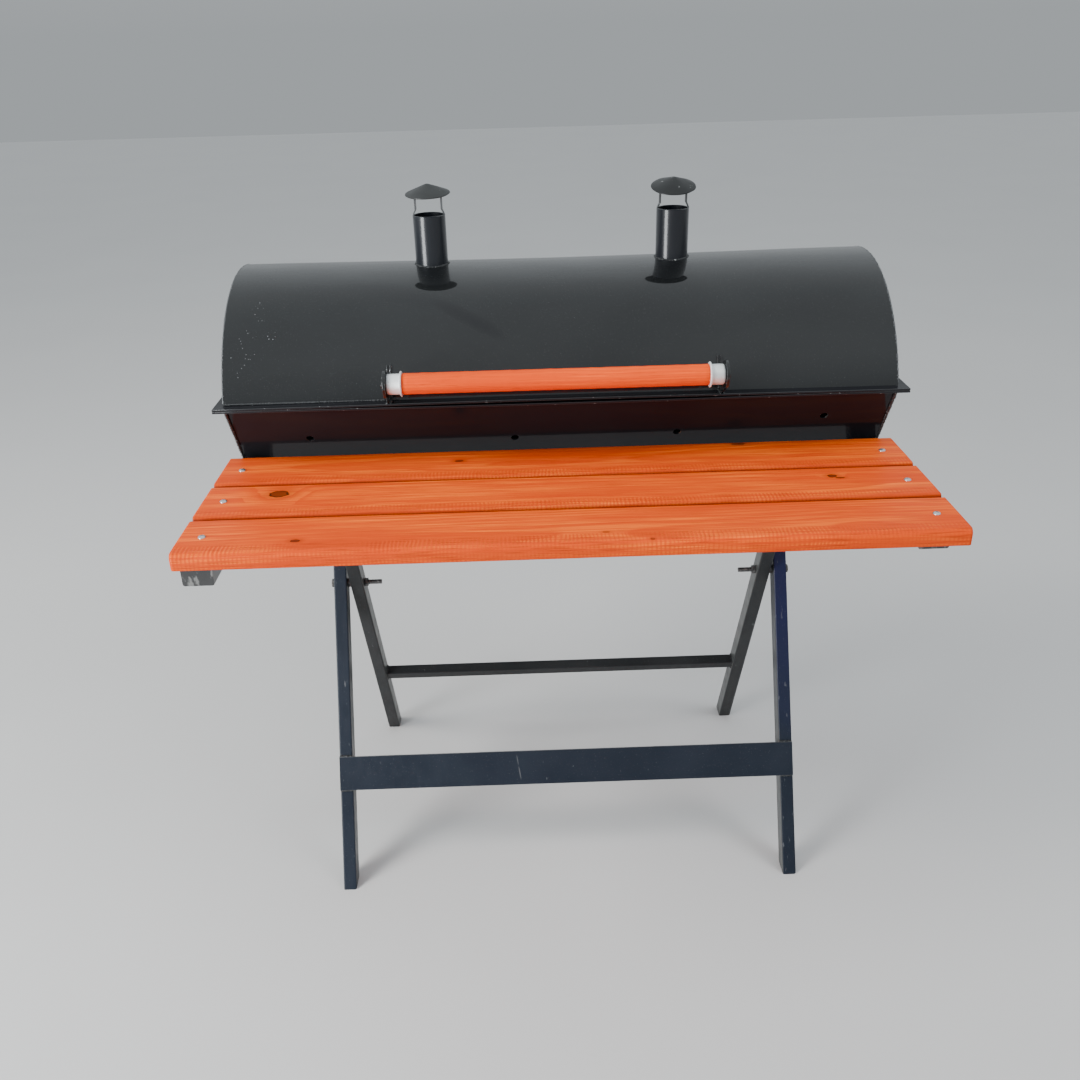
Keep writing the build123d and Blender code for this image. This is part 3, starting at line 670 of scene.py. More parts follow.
spatter_tree, spatter = new_tree("weld_spatter", drops_per_area=4000.0, drop=0.0012, seed=3, steel=None)
sprayed = made("GeometryNodeDistributePointsOnFaces",
               {"Mesh": spatter["Geometry"], "Density": spatter["drops_per_area"], "Seed": spatter["seed"]})
fleck_size = made("FunctionNodeRandomValue", {2: 0.35, 3: 1.25, "Seed": spatter["seed"]}, 1)
fleck = made("GeometryNodeMeshIcoSphere", {"Radius": times(spatter["drop"], 0.5), "Subdivisions": 2})
end_tree(copies(sprayed, fleck, Scale=fleck_size), spatter["steel"])
spatter_steel = metal("spatter_steel", (300, 2), (0.35, 0.65), (0.04, 0.042, 0.045), (0.22, 0.23, 0.24),
                      (0.35, 0.6), 2000, 0.00005, Specular_IOR_Level=0.5)


def lid_patch(corners):
    """Small sloping patches of the lid's surface, each given by its middle, half length and half angle."""
    mesh = bpy.data.meshes.new("patch")
    points, faces = [], []
    for x, angle, half_length, half_angle in corners:
        first = len(points)
        for dx, da in ((-1, -1), (1, -1), (1, 1), (-1, 1)):
            points.append(tuple(lid_point(x + dx * half_length, radians(angle + da * half_angle))))
        faces.append((first, first + 1, first + 2, first + 3))
    mesh.from_pydata(points, [], faces)
    return mesh


thick_spray = lid_patch([(-0.440, 59, 0.010, 2.2), (-0.433, 53, 0.012, 2.0), (-0.414, 45, 0.012, 1.8),
                         (-0.446, 46, 0.008, 1.6), (-0.460, 42, 0.010, 2.2), (-0.449, 36, 0.010, 2.4),
                         (-0.466, 31, 0.008, 2.0), (-0.4765, 30, 0.003, 7.0)])
thin_spray = lid_patch([(-0.368, 33, 0.008, 1.2), (-0.274, 33, 0.006, 1.0), (-0.235, 39, 0.006, 1.0),
                        (-0.42, 48, 0.05, 14), (-0.34, 34, 0.09, 8)])
for name, patch, density, seed in (("lid_spatter_thick", thick_spray, 14000.0, 5),
                                   ("lid_spatter_thin", thin_spray, 900.0, 8)):
    specks = grow(name, spatter_tree, patch, drops_per_area=density, drop=0.0014, seed=seed,
                  steel=spatter_steel)
    settle(name, specks, "lid")

# ------------------------------------------------------------------ chimneys
# Two stubs of 50 mm pipe let into the lid and welded round. Two bent straps on each pipe's
# upper edge hold a shallow cone of sheet over it. All is brushed black; both caps lean forward.


def turned(outline, axis="Z", segments=64):
    """A closed round shape from (radius, along) points, about the Z or the X axis."""
    work = bmesh.new()
    rows = []
    for radius, along in outline:
        if radius < 1e-7:
            rows.append([work.verts.new((0, 0, along))])
            continue
        ring = [2 * pi * i / segments for i in range(segments)]
        rows.append([work.verts.new((radius * cos(a), radius * sin(a), along)) for a in ring])
    loop = len(outline) if outline[0][0] > 1e-7 or outline[-1][0] > 1e-7 else len(outline) - 1
    for i in range(loop):
        first, second = rows[i], rows[(i + 1) % len(rows)]
        for j in range(segments):
            k = (j + 1) % segments
            corners = [row[n % len(row)] for row, n in ((first, j), (first, k), (second, k), (second, j))]
            corners = list(dict.fromkeys(corners))
            if len(corners) > 2:
                work.faces.new(corners)
    bmesh.ops.recalc_face_normals(work, faces=work.faces)
    for face in work.faces:
        face.smooth = True
    if axis == "X":
        bmesh.ops.rotate(work, verts=work.verts, matrix=Matrix.Rotation(pi / 2, 3, "Y"))
    return work


def crisp(name, works, *finishes):
    """One mesh from several work shapes, with its sharp edges marked."""
    mesh = pooled(name, works, *finishes)
    mesh.set_sharp_from_angle(angle=soft_turn)
    return mesh


pipe_enamel = enamel("pipe_enamel", (0.003, 0.004, 0.007), (0.007, 0.009, 0.013), 0.3, 0.75,
                     (6, 6, 0.25), coat_blur=0.17)
cap_enamel = enamel("cap_enamel", (0.012, 0.013, 0.0135), (0.028, 0.030, 0.030), 0.38, 0.12, chips=0.07)
pipe_works, cap_works, base_rings = [], [], []
pipe_lip = 0.0007
pipe_wall = 0.0025
cap_rim = 1.155
cap_rise = 0.014
cap_sheet = 0.002
cap_radius = 0.0345
cap_slope = cap_rise / cap_radius
cap_lean = {"left": (radians(6.0), radians(-1.5)), "right": (radians(14.0), 0.0)}
cap_middle = 0.02
cap_outline = [(0, cap_rise - 0.0004), (0.004, cap_rise - 0.0015),
               (cap_middle, cap_rise - cap_middle * cap_slope),
               (cap_radius - 0.0014, 0.0004), (cap_radius - 0.0004, -0.0003), (cap_radius - 0.0002, -0.0011),
               (cap_radius - 0.0012, -0.0018), (cap_middle, cap_rise - cap_middle * cap_slope - cap_sheet),
               (0, cap_rise - cap_sheet)]
for end, x in zip(ends, chimney_places):
    low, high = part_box(f"chimney_pipe_{end}")
    radius = (high.x - low.x) / 2
    bore = radius - pipe_wall
    pipe = turned([(bore, low.z), (radius, low.z), (radius, high.z - pipe_lip), (radius - pipe_lip, high.z),
                   (bore + pipe_lip, high.z), (bore, high.z - pipe_lip)])
    bmesh.ops.translate(pipe, verts=pipe.verts, vec=(x, middle_y, 0))
    pipe_works.append(pipe)
    cap = turned(cap_outline, segments=72)
    for v in cap.verts:
        out = sqrt(v.co.x ** 2 + v.co.y ** 2) / cap_radius
        v.co.z += 0.0008 * (noise.noise(Vector((v.co.x * 45, v.co.y * 45, x * 9))) - 0.1) * out
    forward, sideways = cap_lean[end]
    spin = Matrix.Rotation(sideways, 3, "Y") @ Matrix.Rotation(forward, 3, "X")
    bmesh.ops.rotate(cap, verts=cap.verts, cent=(0, 0, 0), matrix=spin)
    bmesh.ops.translate(cap, verts=cap.verts, vec=(x, middle_y, cap_rim - 0.0002))
    cap_works.append(cap)
    toe = radius + 0.0004
    ring = [2 * pi * i / 48 for i in range(49)]
    base_rings.append([lid_point(x + toe * cos(a), pi / 2 + asin(toe * sin(a) / shell_radius), -0.0003)
                       for a in ring])
settle("chimney_pipes_turned", crisp("chimney_pipes_turned", pipe_works, pipe_enamel), "lid",
       [f"chimney_pipe_{end}" for end in ends])
strap_enamel = enamel("strap_enamel", (0.05, 0.053, 0.055), (0.13, 0.135, 0.14), 0.3, 0.2, chips=0.14)
steel_piece("chimney_straps_bent", [f"chimney_posts_{end}" for end in ends], "lid",
            strap_enamel, strap_enamel, ease=0.0003)
settle("chimney_caps_formed", crisp("chimney_caps_formed", cap_works, cap_enamel), "lid",
       [f"chimney_cap_{end}" for end in ends])
weld("chimney_base_welds", "lid", "black_gloss_paint", 0.0044, 31, *base_rings)

# ------------------------------------------------------------------ lid handle
# A turned and varnished wooden rod between two upright plates welded to the lid. A pressed
# zinc cup with a rolled lip caps each end, held by a hexagon screw through the plate.

steel_piece("handle_plates_cut", ["handle_plate_left", "handle_plate_right"], "lid",
            gloss_black, lid_enamel_edge)
rod_low, rod_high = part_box("handle_rod")
rod_y, rod_z = middle_of("handle_rod", "y"), middle_of("handle_rod", "z")
rod_radius = (rod_high.z - rod_low.z) / 2
rod_from, rod_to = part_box("handle_ferrule_left")[1].x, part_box("handle_ferrule_right")[0].x
neck = 0.0122
neck_gap = 0.0004
rod_gap = 0.0006
rod_round = 0.0015
rod_outline = [(0, rod_low.x + neck_gap), (neck, rod_low.x + neck_gap), (neck, rod_from - rod_gap),
               (rod_radius - rod_round, rod_from - rod_gap), (rod_radius, rod_from + rod_round)]
bulges = 60
for i in range(1, bulges):
    along = rod_from + rod_round + (rod_to - rod_from - 2 * rod_round) * i / bulges
    rod_outline.append((rod_radius - 0.00025 + 0.0002 * sin(i * 1.9) * sin(i * 0.37), along))
rod_outline += [(rod_radius, rod_to - rod_round), (rod_radius - rod_round, rod_to + rod_gap),
                (neck, rod_to + rod_gap), (neck, rod_high.x - neck_gap), (0, rod_high.x - neck_gap)]
rod = turned(rod_outline, "X", 48)
bmesh.ops.translate(rod, verts=rod.verts, vec=(0, rod_y, rod_z))
chatter_pitch = 0.0052


def stained_wood(name, pale, deep, dark, heart, stretch, ring_pitch, knots=(), bands=(), shaded_gaps=()):
    """Pine under orange stain and varnish: rings round the log's heart, fine fibres, blotches and knots.

    Each knot is (x, y, half length, half width, how far it pushes the rings, darkness).
    Each band is (y from, y to): a strip along the board's edge where the cutter chattered.
    At each (y from, y to, top) in the last argument, a side is painted dark below the top: painted shade in the
    gap between boards.
    """
    constants = {"Coat_Weight": 0.06, "Coat_Roughness": 0.22, "Specular_IOR_Level": 0.1}
    material, shader, place = new_finish(name, **constants)
    drift_place = vector_maths("MULTIPLY", place, (1.6, 7, 7))
    drift = made("ShaderNodeTexNoise", {"Vector": drift_place, "Scale": 1.0, "Detail": 3.0}, 1)
    drift = vector_maths("MULTIPLY", drift, (0.0, 0.03, 0.03))
    moved = vector_maths("ADD", place, drift)
    moved = vector_maths("SUBTRACT", moved, heart)
    moved = vector_maths("MULTIPLY", moved, stretch)
    reach = vector_maths("LENGTH", moved)
    darkness = None
    for x, y, half_length, half_width, push, depth in knots:
        off = vector_maths("SUBTRACT", place, (x, y, 0))
        off = vector_maths("MULTIPLY", off, (1 / half_length, 1 / half_width, 0))
        ragged = times(minus(noise_at(place, 160, 3), 0.5), 0.5)
        near = plus(vector_maths("LENGTH", off), ragged)
        reach = plus(reach, between(near, 0.6, 4.0, push, 0.0))
        core = times(between(near, 0.76, 0.9, 0.8, 1.0), between(near, 0.98, 1.12, depth, 0.0))
        halo = between(near, 0.9, 2.6, depth * 0.3, 0.0)
        spot_here = maths("MAXIMUM", core, halo)
        darkness = spot_here if darkness is None else maths("MAXIMUM", darkness, spot_here)
    ring = maths("FRACT", maths("DIVIDE", reach, ring_pitch))
    late = times(between(ring, 0.25, 0.92), between(ring, 1.0, 0.92))
    fibres = noise_at(place, 1.0, 4, (10, 420, 420))
    hairs = between(noise_at(place, 1.0, 3, (22, 1100, 1100)), 0.60, 0.72)
    blotches = noise_at(place, 1.0, 4, (3.5, 16, 16))
    colour = mix(between(fibres, 0.34, 0.66), pale, deep)
    colour = mix(times(late, 0.8), colour, deep)
    colour = mix(times(between(blotches, 0.44, 0.64), 0.75), colour, deep)
    colour = mix(times(hairs, 0.55), colour, dark)
    height = plus(times(fibres, 0.6), times(late, 0.4))
    if bands:
        x, y = coordinate(place, 0), coordinate(place, 1)
        drifting = times(noise_at(place, 1.0, 2, (26, 18, 18)), 14.0)
        chatter = maths("SINE", plus(times(x, 2 * pi / chatter_pitch), drifting))
        chatter = plus(chatter, between(noise_at(place, 1.0, 2, (11, 5, 5)), 0.3, 0.7, -0.8, 0.8))
        streaky = noise_at(place, 1.0, 3, (26, 700, 700))
        for start, end in bands:
            strip = times(between(y, end + 0.002, end - 0.001), between(y, start - 0.002, start))
            marks = times(strip, between(chatter, -0.5, 0.9))
            colour = mix(times(marks, 0.7), colour, deep)
            burnt = times(strip, between(streaky, 0.52, 0.70))
            colour = mix(times(burnt, 0.45), colour, dark)
    # Painted shade: the boards' sides in the gaps are darkened below the top.
    if shaded_gaps:
        for start, end, top in shaded_gaps:
            side = between(coordinate(place, 1), start, end, 1.0, 0.0)
            below = between(coordinate(place, 2), top - 0.0008, top - 0.005)
            painted_gap_shade = times(times(side, below), between(blotches, 0.3, 0.55, 0.75, 0.95))
            colour = mix(painted_gap_shade, colour, dark)
    if darkness is not None:
        colour = mix(darkness, colour, (0.016, 0.006, 0.002))
    join(shader, colour, between(blotches, 0.3, 0.7, 0.42, 0.6), height, 0.00018, 0.6)
    return material


rod_wood = stained_wood("varnished_rod", (1.0, 0.120, 0.004), (0.74, 0.066, 0.003), (0.33, 0.024, 0.003),
                        (-0.1, rod_y - 0.03, rod_z - 0.05), (0.03, 1, 1), 0.0045)
settle("handle_rod_turned", crisp("handle_rod_turned", [rod], rod_wood), "lid", ["handle_rod"])

zinc, zinc_shader, zinc_place = new_finish("pressed_zinc", Metallic=0.35)
spangle = made("ShaderNodeTexVoronoi", {"Vector": zinc_place, "Scale": 260.0}, 1)
tarnish = noise_at(zinc_place, 60, 4)
zinc_colour = mix(between(tarnish, 0.35, 0.7), (0.80, 0.83, 0.83), (0.66, 0.69, 0.69))
spangle_height = made("ShaderNodeSeparateColor", {0: spangle})
join(zinc_shader, zinc_colour, between(tarnish, 0.3, 0.7, 0.34, 0.5), spangle_height, 0.00004)
cup_out = 0.0145
cups = []
for end, side in (("left", -1), ("right", 1)):
    low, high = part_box(f"handle_ferrule_{end}")
    outer = low.x if side < 0 else high.x
    lip_out = (high.z - low.z) / 2
    steps = [(0.0032, 0.0), (cup_out - 0.0035, 0.0), (cup_out - 0.0015, 0.0005), (cup_out - 0.0003, 0.0018),
             (cup_out, 0.0036), (cup_out, 0.0186), (cup_out + 0.0005, 0.0194), (lip_out - 0.0008, 0.0197),
             (lip_out, 0.0203), (lip_out, 0.0212), (lip_out - 0.0008, 0.0219), (0.0126, 0.0220),
             (0.0125, 0.0032), (0.0032, 0.0032)]
    cup = turned([(radius, outer - side * along) for radius, along in steps], "X", 48)
    bmesh.ops.translate(cup, verts=cup.verts, vec=(0, rod_y, rod_z))
    cups.append(cup)
settle("handle_ferrules_pressed", crisp("handle_ferrules_pressed", cups, zinc), "lid",
       [f"handle_ferrule_{end}" for end in ends])
bright = metal("bright_zinc_plate", (180, 3), (0.0, 1.0), (0.78, 0.79, 0.80), (0.60, 0.60, 0.61), (0.2, 0.36),
               900, 0.00003, Metallic=0.9)
steel_piece("handle_hexagon_screws", ["handle_screws"], "lid", gloss_black,
            lid_enamel_edge, ease=0.0004)
foot_lines = []
plate_front, plate_back = 0.2296, 0.212
foot_bead_turn = 0.20
for end in ends:
    low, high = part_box(f"handle_plate_{end}")
    for x in (low.x - 0.0005, high.x + 0.0005):
        foot_lines.append([lid_point(x, seat_angle + 0.02 + foot_bead_turn * i / 12, 0.0004) for i in range(13)])
        foot_lines.append([Vector((x, middle_y - out, low.z + 0.0006)) for out in (plate_front, plate_back)])
weld("handle_foot_welds", "lid", "black_gloss_paint", 0.0042, 33, *foot_lines)

# ------------------------------------------------------------------ shelf brackets
# Two lengths of 40 x 25 rectangular tube, closed at the front and welded square to the
# firebox's front plate. Their black enamel is scraped down to metal round the front ends.


def scraped_enamel(name, front, reach):
    """Black enamel, scraped to bare steel within reach of the tube's front end."""
    material, shader, place = new_finish(name, Coat_Weight=0.3, Coat_Roughness=0.1)
    y = coordinate(place, 1)
    scrapes = noise_at(place, 110, 5, (1, 2.5, 0.5))
    near = between(y, front, front + reach, 0.11, 0.0)
    bare = between(plus(scrapes, near), 0.63, 0.71)
    clouds = noise_at(place, 25, 4)
    colour = mix(clouds, (0.010, 0.010, 0.011), (0.030, 0.030, 0.031))
    colour = mix(bare, colour, (0.15, 0.15, 0.145))
    join(shader, colour, between(bare, 0, 1, 0.28, 0.5), scrapes, 0.00015, 0.7)
    return material


panel_lean = radians(30)
scraped_length = {"left": 0.018, "right": 0.001}
bracket_seams = []
for end in ends:
    node = f"shelf_bracket_{end}"
    low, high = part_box(node)
    scraped = scraped_enamel(node + "_enamel", low.y, scraped_length[end])
    steel_piece(node + "_tube", [node], "firebox", scraped, lid_enamel_edge,
                along=Vector((0, 1, 0)), corner=0.0028)
    top_y, foot_y = [front_top.y + (front_top.z - z) * tan(panel_lean) for z in (high.z, low.z)]
    for x in (low.x, high.x):
        bracket_seams.append([Vector((x, foot_y, low.z)), Vector((x, top_y, high.z))])
    bracket_seams.append([Vector((low.x, foot_y, low.z)), Vector((high.x, foot_y, low.z))])
weld("bracket_welds", "firebox", "bracket_paint", 0.0048, 41, *bracket_seams)

# ------------------------------------------------------------------ shelf planks
# Three flat-sawn pine boards, 100 x 22, laid lengthways with a finger's gap, stained orange
# and varnished. A chattering router rounded their front edges and left ripples there.

plank_names = ("front", "middle", "back")
chatter_depth = 0.0004
chatter_width = 0.015
front_blend = 0.03
chatter_fade = 0.004
edge_drift = 0.00035
plank_column = 0.0008
back_round = 0.0012


def arc(y, z, radius, first, last, count):
    """Points of an arc round (y, z), its angles in degrees from the +Y side."""
    return [(y + radius * cos(radians(first + (last - first) * i / count)),
             z + radius * sin(radians(first + (last - first) * i / count))) for i in range(count + 1)]


def board_section(low, high, nose, inset):
    """The board's outline across its length, set in by inset, from its lower front corner round."""
    y0, y1, z0, z1 = low.y + inset, high.y - inset, low.z + inset, high.z - inset
    nose = max(nose - inset, 0.001)
    small = back_round
    section = arc(y0 + small, z0 + small, small, 180, 270, 3)
    section += [(y0 + (y1 - y0) * share, z0) for share in (0.35, 0.65)]
    section += arc(y1 - small, z0 + small, small, 270, 360, 3)
    section += arc(y1 - small, z1 - small, small, 0, 90, 3)
    flat = y0 + nose
    reach = chatter_width + chatter_fade
    section += [(y1 - small - (y1 - small - flat - reach) * share, z1) for share in (0.2, 0.4, 0.6, 0.8)]
    section += [(flat + reach * (1 - i / 10), z1) for i in range(10)]
    section += arc(flat, z1 - nose, nose, 90, 180, 8)
    return section


def plank(name, low, high, nose, plan_round, seed):
    """A board with eased ends, a rounded front edge and chatter ripples along it."""
    work = bmesh.new()
    length = high.x - low.x
    count = int(length / plank_column)
    columns = [(0.0, 0.0014), (0.0004, 0.0007), (0.0013, 0.0001)]
    columns += [(length * i / count, 0.0) for i in range(3, count - 2)]
    columns += [(length - along, inset) for along, inset in reversed(columns[:3])]
    rows = []
    for along, inset in columns:
        x = low.x + along
        from_end = min(along, length - along)
        corner = 0.0
        if from_end < plan_round:
            corner = plan_round - sqrt(plan_round ** 2 - (plan_round - from_end) ** 2)
        patch = 0.5 + 1.3 * noise.noise(Vector((x * 14, seed, 0.5)))
        swing = 2 * pi * x / chatter_pitch + 3.0 * noise.noise(Vector((x * 28, seed, 3.5)))
        ripple = chatter_depth * max(0.0, min(1.0, patch)) * (0.5 + 0.5 * cos(swing))
        edge_wander = edge_drift * noise.noise(Vector((x * 9, seed, 7.5)))
        row = []
        for y, z in board_section(low, high, nose, inset):
            from_front = y - low.y
            fade = max(0.0, 1 - from_front / front_blend)
            y += fade * corner + abs(edge_wander) * fade
            if z > low.z + chatter_fade and from_front < nose + chatter_width:
                share = min(1.0, (nose + chatter_width - from_front) / chatter_fade)
                z -= ripple * share
            row.append(work.verts.new((x, y, z)))
        rows.append(row)
    points = len(rows[0])
    for first, second in zip(rows, rows[1:]):
        for i in range(points):
            j = (i + 1) % points
            work.faces.new((first[i], first[j], second[j], second[i]))
    work.faces.new(rows[0])
    work.faces.new(list(reversed(rows[-1])))
    bmesh.ops.recalc_face_normals(work, faces=work.faces)
    for face in work.faces:
        face.smooth = True
    return work


pale_pine = (0.96, 0.168, 0.008)
deep_pine = (0.60, 0.052, 0.003)
dark_pine = (0.16, 0.013, 0.002)
plank_knots = {
    "front": [(-0.348, middle_y - 0.472, 0.006, 0.0036, 0.003, 0.95),
              (0.044, middle_y - 0.475, 0.0045, 0.0024, 0.001, 0.6),
              (0.10, middle_y - 0.497, 0.003, 0.0018, 0.0, 0.7)],
    "middle": [(-0.398, middle_y - 0.323, 0.0128, 0.0107, 0.009, 0.96),
               (0.372, middle_y - 0.321, 0.0062, 0.0046, 0.004, 1.0),
               (0.381, middle_y - 0.328, 0.006, 0.0022, 0.0, 0.95)],
    "back": [(-0.153, middle_y - 0.222, 0.006, 0.0034, 0.003, 0.95),
             (0.266, middle_y - 0.189, 0.010, 0.0045, 0.002, 0.85)],
}
plank_hearts = {"front": (0.20, middle_y - 0.47, 0.735), "middle": (-0.15, middle_y - 0.33, 0.72),
                "back": (0.35, middle_y - 0.215, 0.745)}
for seed, name in enumerate(plank_names):
    node = f"shelf_plank_{name}"
    low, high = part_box(node)
    nose = 0.009 if name == "front" else 0.006
    board = plank(node, low, high, nose, 0.005 if name == "front" else 0.001, seed + 0.5)
    # Painted shade: the boards' sides in the gaps are painted dark below the top.
    gap_shade_runs = [(high.y - 0.0006, high.y - 0.0024, high.z)]
    if name != "front":
        gap_shade_runs.append((low.y + 0.0044, low.y + 0.0062, high.z + 0.0007))
    pine = stained_wood(f"pine_{name}", pale_pine, deep_pine, dark_pine, plank_hearts[name], (0.045, 1, 1),
                        0.0052, plank_knots[name], [(low.y, low.y + nose + chatter_width)], gap_shade_runs)
    settle(node + "_board", crisp(node + "_board", [board], pine), "firebox", [node])

# ------------------------------------------------------------------ shelf screws
# Six bright zinc-plated screws with domed heads and crossed slots, one through each end
# of each plank into the bracket under it.

screw_head = 0.0105
screw_tree, screw = new_tree("domed_screw", head=screw_head, rise=0.0028, slot_width=0.0012, slot_length=0.0056,
                             slot_depth=0.0016, seed=4, steel=None)
head_radius = times(screw["head"], 0.5)
ball = add(screw_tree, "GeometryNodeMeshUVSphere", {"Segments": 32, "Rings": 16, "Radius": 1.0}).outputs[0]
dome_scale = vector(head_radius, head_radius, screw["rise"])
dome = made("GeometryNodeTransform", {"Geometry": ball, "Scale": dome_scale})
slot_height = times(screw["slot_depth"], 2.0)
slot_place = vector(0.0, 0.0, screw["rise"])
cut_head = dome
for long_x, long_y in (("slot_length", "slot_width"), ("slot_width", "slot_length")):
    bar = made("GeometryNodeMeshCube", {"Size": vector(screw[long_x], screw[long_y], slot_height)})
    raised = made("GeometryNodeTransform", {"Geometry": bar, "Translation": slot_place})
    cut_head = made("GeometryNodeMeshBoolean", {0: cut_head, 1: raised}, operation="DIFFERENCE", solver="EXACT")
any_turn = made("FunctionNodeRandomValue", {2: 0.0, 3: 1.5, "Seed": screw["seed"]}, 1)
end_tree(copies(screw["Geometry"], cut_head, Rotation=vector(0.0, 0.0, any_turn)), screw["steel"])
shelf_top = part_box("shelf_plank_middle")[1].z
screw_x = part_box("shelf_screws")[1].x - screw_head / 2
screw_points = bpy.data.meshes.new("screw_points")
screw_rows = [middle_of(f"shelf_plank_{name}", "y") for name in plank_names]
screw_points.from_pydata([(side * screw_x, y, shelf_top) for side in (-1, 1) for y in screw_rows], [], [])
settle("shelf_screw_heads", grow("shelf_screw_heads", screw_tree, screw_points, steel=bright), "firebox",
       ["shelf_screws"])

# ------------------------------------------------------------------ stand frames
# Two frames of 23 x 30 tube crossed like an X. The outer one carries a wide flat bar in
# front, the inner one a square bar behind. Both are brushed with satin blue-grey paint.

leg_tilt = radians(26.2)
outer_way = Vector((0, sin(leg_tilt), cos(leg_tilt)))
inner_way = Vector((0, -sin(leg_tilt), cos(leg_tilt)))
tube_round = 0.0024


def satin_paint(name, thick, thin, tint=None, tint_from=0.0, tint_to=1.0, scuffs=0.0, marks=(), side_light=0.0):
    """Satin brushed paint; tint takes over between two heights, scuffs scratch it, marks are streaks.

    On the faces across the grill's length the colour is painted lighter and greyer by the share given: painted
    light on those side faces.
    """
    constants = {"Coat_Weight": 0.05, "Coat_Roughness": 0.2, "Specular_IOR_Level": 0.22}
    material, shader, place = new_finish(name, **constants)
    clouds = noise_at(place, 9, 4)
    strokes = noise_at(place, 60, 3, (2, 1, 0.6))
    colour = mix(between(clouds, 0.35, 0.65), thick, thin)
    if tint:
        z = coordinate(place, 2)
        ragged = plus(z, times(noise_at(place, 14, 4), 0.12))
        colour = mix(between(ragged, tint_from, tint_to), colour, tint)
    # Painted light: faces across the grill's length are painted lighter, as if more lit than the fronts.
    if side_light:
        across = coordinate(add(shader.id_data, "ShaderNodeNewGeometry").outputs["Normal"], 0)
        side_light_share = between(maths("ABSOLUTE", across), 0.6, 0.9, 0.0, side_light)
        colour = mix(side_light_share, colour, (0.085, 0.088, 0.084))
    if scuffs:
        scratch = between(noise_at(place, 90, 5, (2, 1, 0.35)), 0.74 - scuffs, 0.78 - scuffs)
        colour = mix(times(scratch, 0.35), colour, (0.2, 0.21, 0.22))
    for first, last, width, depth in marks:
        colour = mix(streak(place, first, last, width, depth), colour, (0.24, 0.24, 0.24))
    dust = between(noise_at(place, 600, 2), 0.68, 0.76)
    colour = mix(times(dust, 0.22), colour, (0.35, 0.35, 0.35))
    height = plus(strokes, times(noise_at(place, 500, 2), 0.4))
    join(shader, colour, between(strokes, 0.3, 0.7, 0.30, 0.44), height, 0.00014, 0.5)
    return material


blue_thick, blue_thin = (0.009, 0.013, 0.022), (0.014, 0.019, 0.029)
grey_thick, grey_thin = (0.012, 0.013, 0.014), (0.020, 0.021, 0.022)
navy = (0.010, 0.012, 0.046)
blue_satin = satin_paint("blue_satin", blue_thick, blue_thin, scuffs=0.05, side_light=0.4)
navy_satin = satin_paint("navy_satin", blue_thick, blue_thin, navy, 0.27, 0.46, 0.08, side_light=0.7)
grey_satin = satin_paint("grey_satin", grey_thick, grey_thin, scuffs=0.05, side_light=0.5)
worn_satin = satin_paint("worn_satin", (0.035, 0.038, 0.041), (0.075, 0.079, 0.083), scuffs=0.12)

for name, nodes, body, paint, way in (
        ("outer_leg_left_tube", ["outer_leg_left"], "outer_frame", blue_satin, outer_way),
        ("outer_leg_right_tube", ["outer_leg_right"], "outer_frame", navy_satin, outer_way),
        ("inner_legs_tube", ["inner_leg_left", "inner_leg_right"], "inner_frame", grey_satin, inner_way)):
    steel_piece(name, nodes, body, paint, worn_satin, along=way, corner=tube_round)
bar_low, bar_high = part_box("front_crossbar")
bar_middle = (bar_low + bar_high) / 2
bar_face = Vector((0, -cos(leg_tilt), sin(leg_tilt)))
bar_half, bar_thick = 0.030, 0.004
bar_front = bar_middle + bar_face * (bar_thick / 2)
scuff = Vector((-0.086, bar_front.y, bar_front.z))
scuff_top = scuff + outer_way * 0.004
scuff_marks = [(scuff - outer_way * 0.022 + Vector((0.004, 0, 0)), scuff_top, 0.0012, 0.35),
               (scuff_top, scuff + outer_way * 0.024 - Vector((0.003, 0, 0)), 0.0010, 0.3)]
bar_satin = satin_paint("bar_satin", blue_thick, blue_thin, scuffs=0.02, marks=scuff_marks)
steel_piece("front_crossbar_flat", ["front_crossbar"], "outer_frame", bar_satin, worn_satin)
steel_piece("rear_crossbar_tube", ["rear_crossbar"], "inner_frame", grey_satin, worn_satin,
            along=Vector((1, 0, 0)), corner=0.0018)
steel_piece("inner_top_rod", ["inner_top_bar"], "inner_frame", grey_satin, worn_satin,
            ease=0.0005)

leg_half = (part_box("outer_leg_left")[1].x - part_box("outer_leg_left")[0].x) / 2
bead_inset = 0.002
bar_seams = []
for side in (-1, 1):
    for edge in (-1, 1):
        row = bar_middle - bar_face * (bar_thick / 2) + outer_way * (edge * (bar_half + 0.0005))
        inner_x = side * (bar_high.x - 2 * leg_half + bead_inset)
        outer_x = side * (bar_high.x - bead_inset)
        bar_seams.append([Vector((inner_x, row.y, row.z)), Vector((outer_x, row.y, row.z))])
weld("front_bar_welds", "outer_frame", "stand_paint", 0.0052, 51, *bar_seams)
rear_low, rear_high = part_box("rear_crossbar")
rear_middle = (rear_low + rear_high) / 2
rear_seams = []
bead_out = 0.0098
square_turns = ((-1, -1), (1, -1), (1, 1), (-1, 1))
rear_way = Vector((0, cos(leg_tilt), sin(leg_tilt)))
for x in (rear_low.x + 0.0004, rear_high.x - 0.0004):
    square = [rear_middle + inner_way * (bead_out * a) + rear_way * (bead_out * b)
              for a, b in (*square_turns, square_turns[0])]
    rear_seams.append([Vector((x, p.y, p.z)) for p in square])
weld("rear_bar_welds", "inner_frame", "stand_paint", 0.0042, 52, *rear_seams)

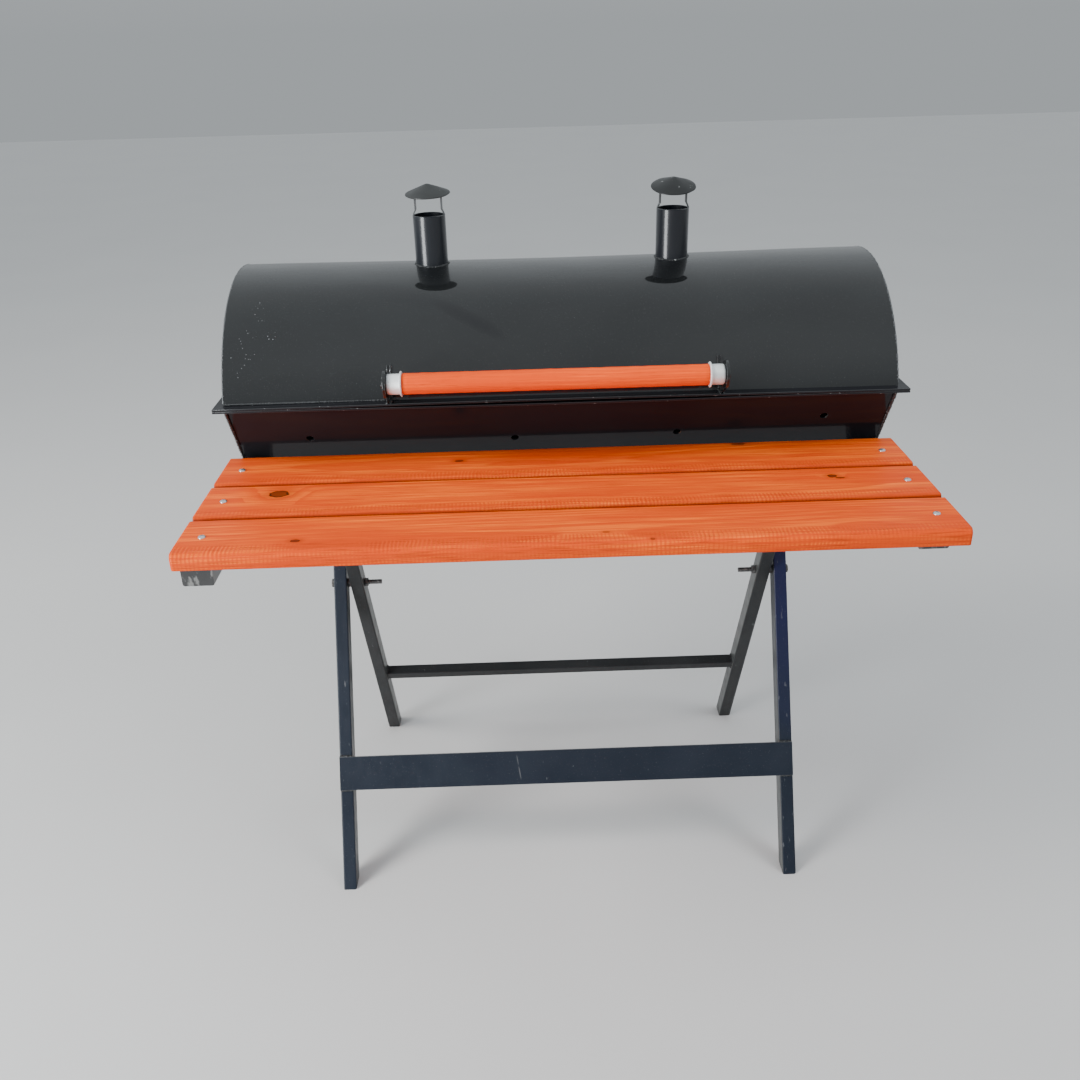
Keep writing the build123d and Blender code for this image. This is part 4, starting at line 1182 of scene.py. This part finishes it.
bar_patch = bpy.data.meshes.new("bar_patch")
speck_reach, speck_rise = 0.36, 0.026
bar_corners = [bar_front + outer_way * (v * speck_rise) + Vector((u * speck_reach, 0, 0))
               for u, v in square_turns]
bar_patch.from_pydata([tuple(p) for p in bar_corners], [], [(0, 1, 2, 3)])
bar_specks = grow("front_bar_specks", spatter_tree, bar_patch, drops_per_area=60.0, drop=0.0011, seed=12,
                  steel=spatter_steel)
settle("front_bar_specks", bar_specks, "outer_frame")

# ------------------------------------------------------------------ ears and stops
# Two drilled ears of 5 mm plate welded under the firebox carry the outer frame, and two
# small plates under it keep the inner frame's top rod from sliding forwards.

for kind in ("ear", "stop"):
    steel_piece(f"stand_{kind}_plates", [f"stand_{kind}_left", f"stand_{kind}_right"], "firebox",
                firebox_enamel, firebox_edge)
ear_seams = []
for end in ends:
    for node in (f"stand_ear_{end}", f"stand_stop_{end}"):
        low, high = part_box(node)
        wide = high.x - low.x > high.y - low.y
        toe = high.z - 0.001
        for side in (low, high):
            if wide:
                ear_seams.append([Vector((x, side.y, toe)) for x in (low.x, high.x)])
            else:
                ear_seams.append([Vector((side.x, y, toe)) for y in (low.y, high.y)])
weld("ear_welds", "firebox", "stand_paint", 0.005, 53, *ear_seams)

# ------------------------------------------------------------------ bolts
# M8 hexagon bolts at the crossing and at the ears, with nuts and spacer rings. The long
# threads of the crossing's bolts stick out inwards past their nuts.

bolt_black = metal("blackened_bolt", (220, 4), (0.4, 0.7), (0.05, 0.05, 0.052), (0.17, 0.165, 0.16),
                   (0.34, 0.55), 1200, 0.00004, Metallic=0.6)
for name, node, body, ease in (("pivot_bolt_blanks", "pivot_bolts", "outer_frame", 0.0008),
                               ("pivot_hex_nuts", "pivot_nuts", "outer_frame", 0.0007),
                               ("pivot_spacer_rings", "pivot_spacers", "outer_frame", 0.0004),
                               ("ear_bolts_hex", "ear_bolts", "firebox", 0.0008),
                               ("ear_nuts_hex", "ear_nuts", "firebox", 0.0007)):
    steel_piece(name, [node], body, bolt_black, bolt_black, ease=ease)

thread_tree, thread = new_tree("bolt_thread", radius=0.0038, length=0.022, pitch=0.00125, steel=None)
turns = maths("DIVIDE", thread["length"], thread["pitch"])
helix = made("GeometryNodeCurveSpiral",
             {"Resolution": 20, "Rotations": turns, "Start Radius": thread["radius"],
              "End Radius": thread["radius"], "Height": thread["length"]})
crest = made("GeometryNodeCurvePrimitiveCircle", {"Resolution": 4, "Radius": times(thread["pitch"], 0.42)})
ridge = made("GeometryNodeCurveToMesh", {"Curve": helix, "Profile Curve": crest, "Fill Caps": True})
outwards = maths("SIGN", coordinate(add(thread_tree, "GeometryNodeInputPosition").outputs[0], 0))
lay = vector(0.0, times(outwards, pi / 2), 0.0)
end_tree(copies(thread["Geometry"], ridge, Rotation=lay), thread["steel"])
thread_end = 0.3232
thread_points = bpy.data.meshes.new("thread_points")
thread_starts = [(side * thread_end, middle_y, middle_of("pivot_bolts", "z")) for side in (-1, 1)]
thread_points.from_pydata(thread_starts, [], [])
settle("pivot_bolt_threads", grow("pivot_bolt_threads", thread_tree, thread_points, steel=bolt_black),
       "outer_frame")
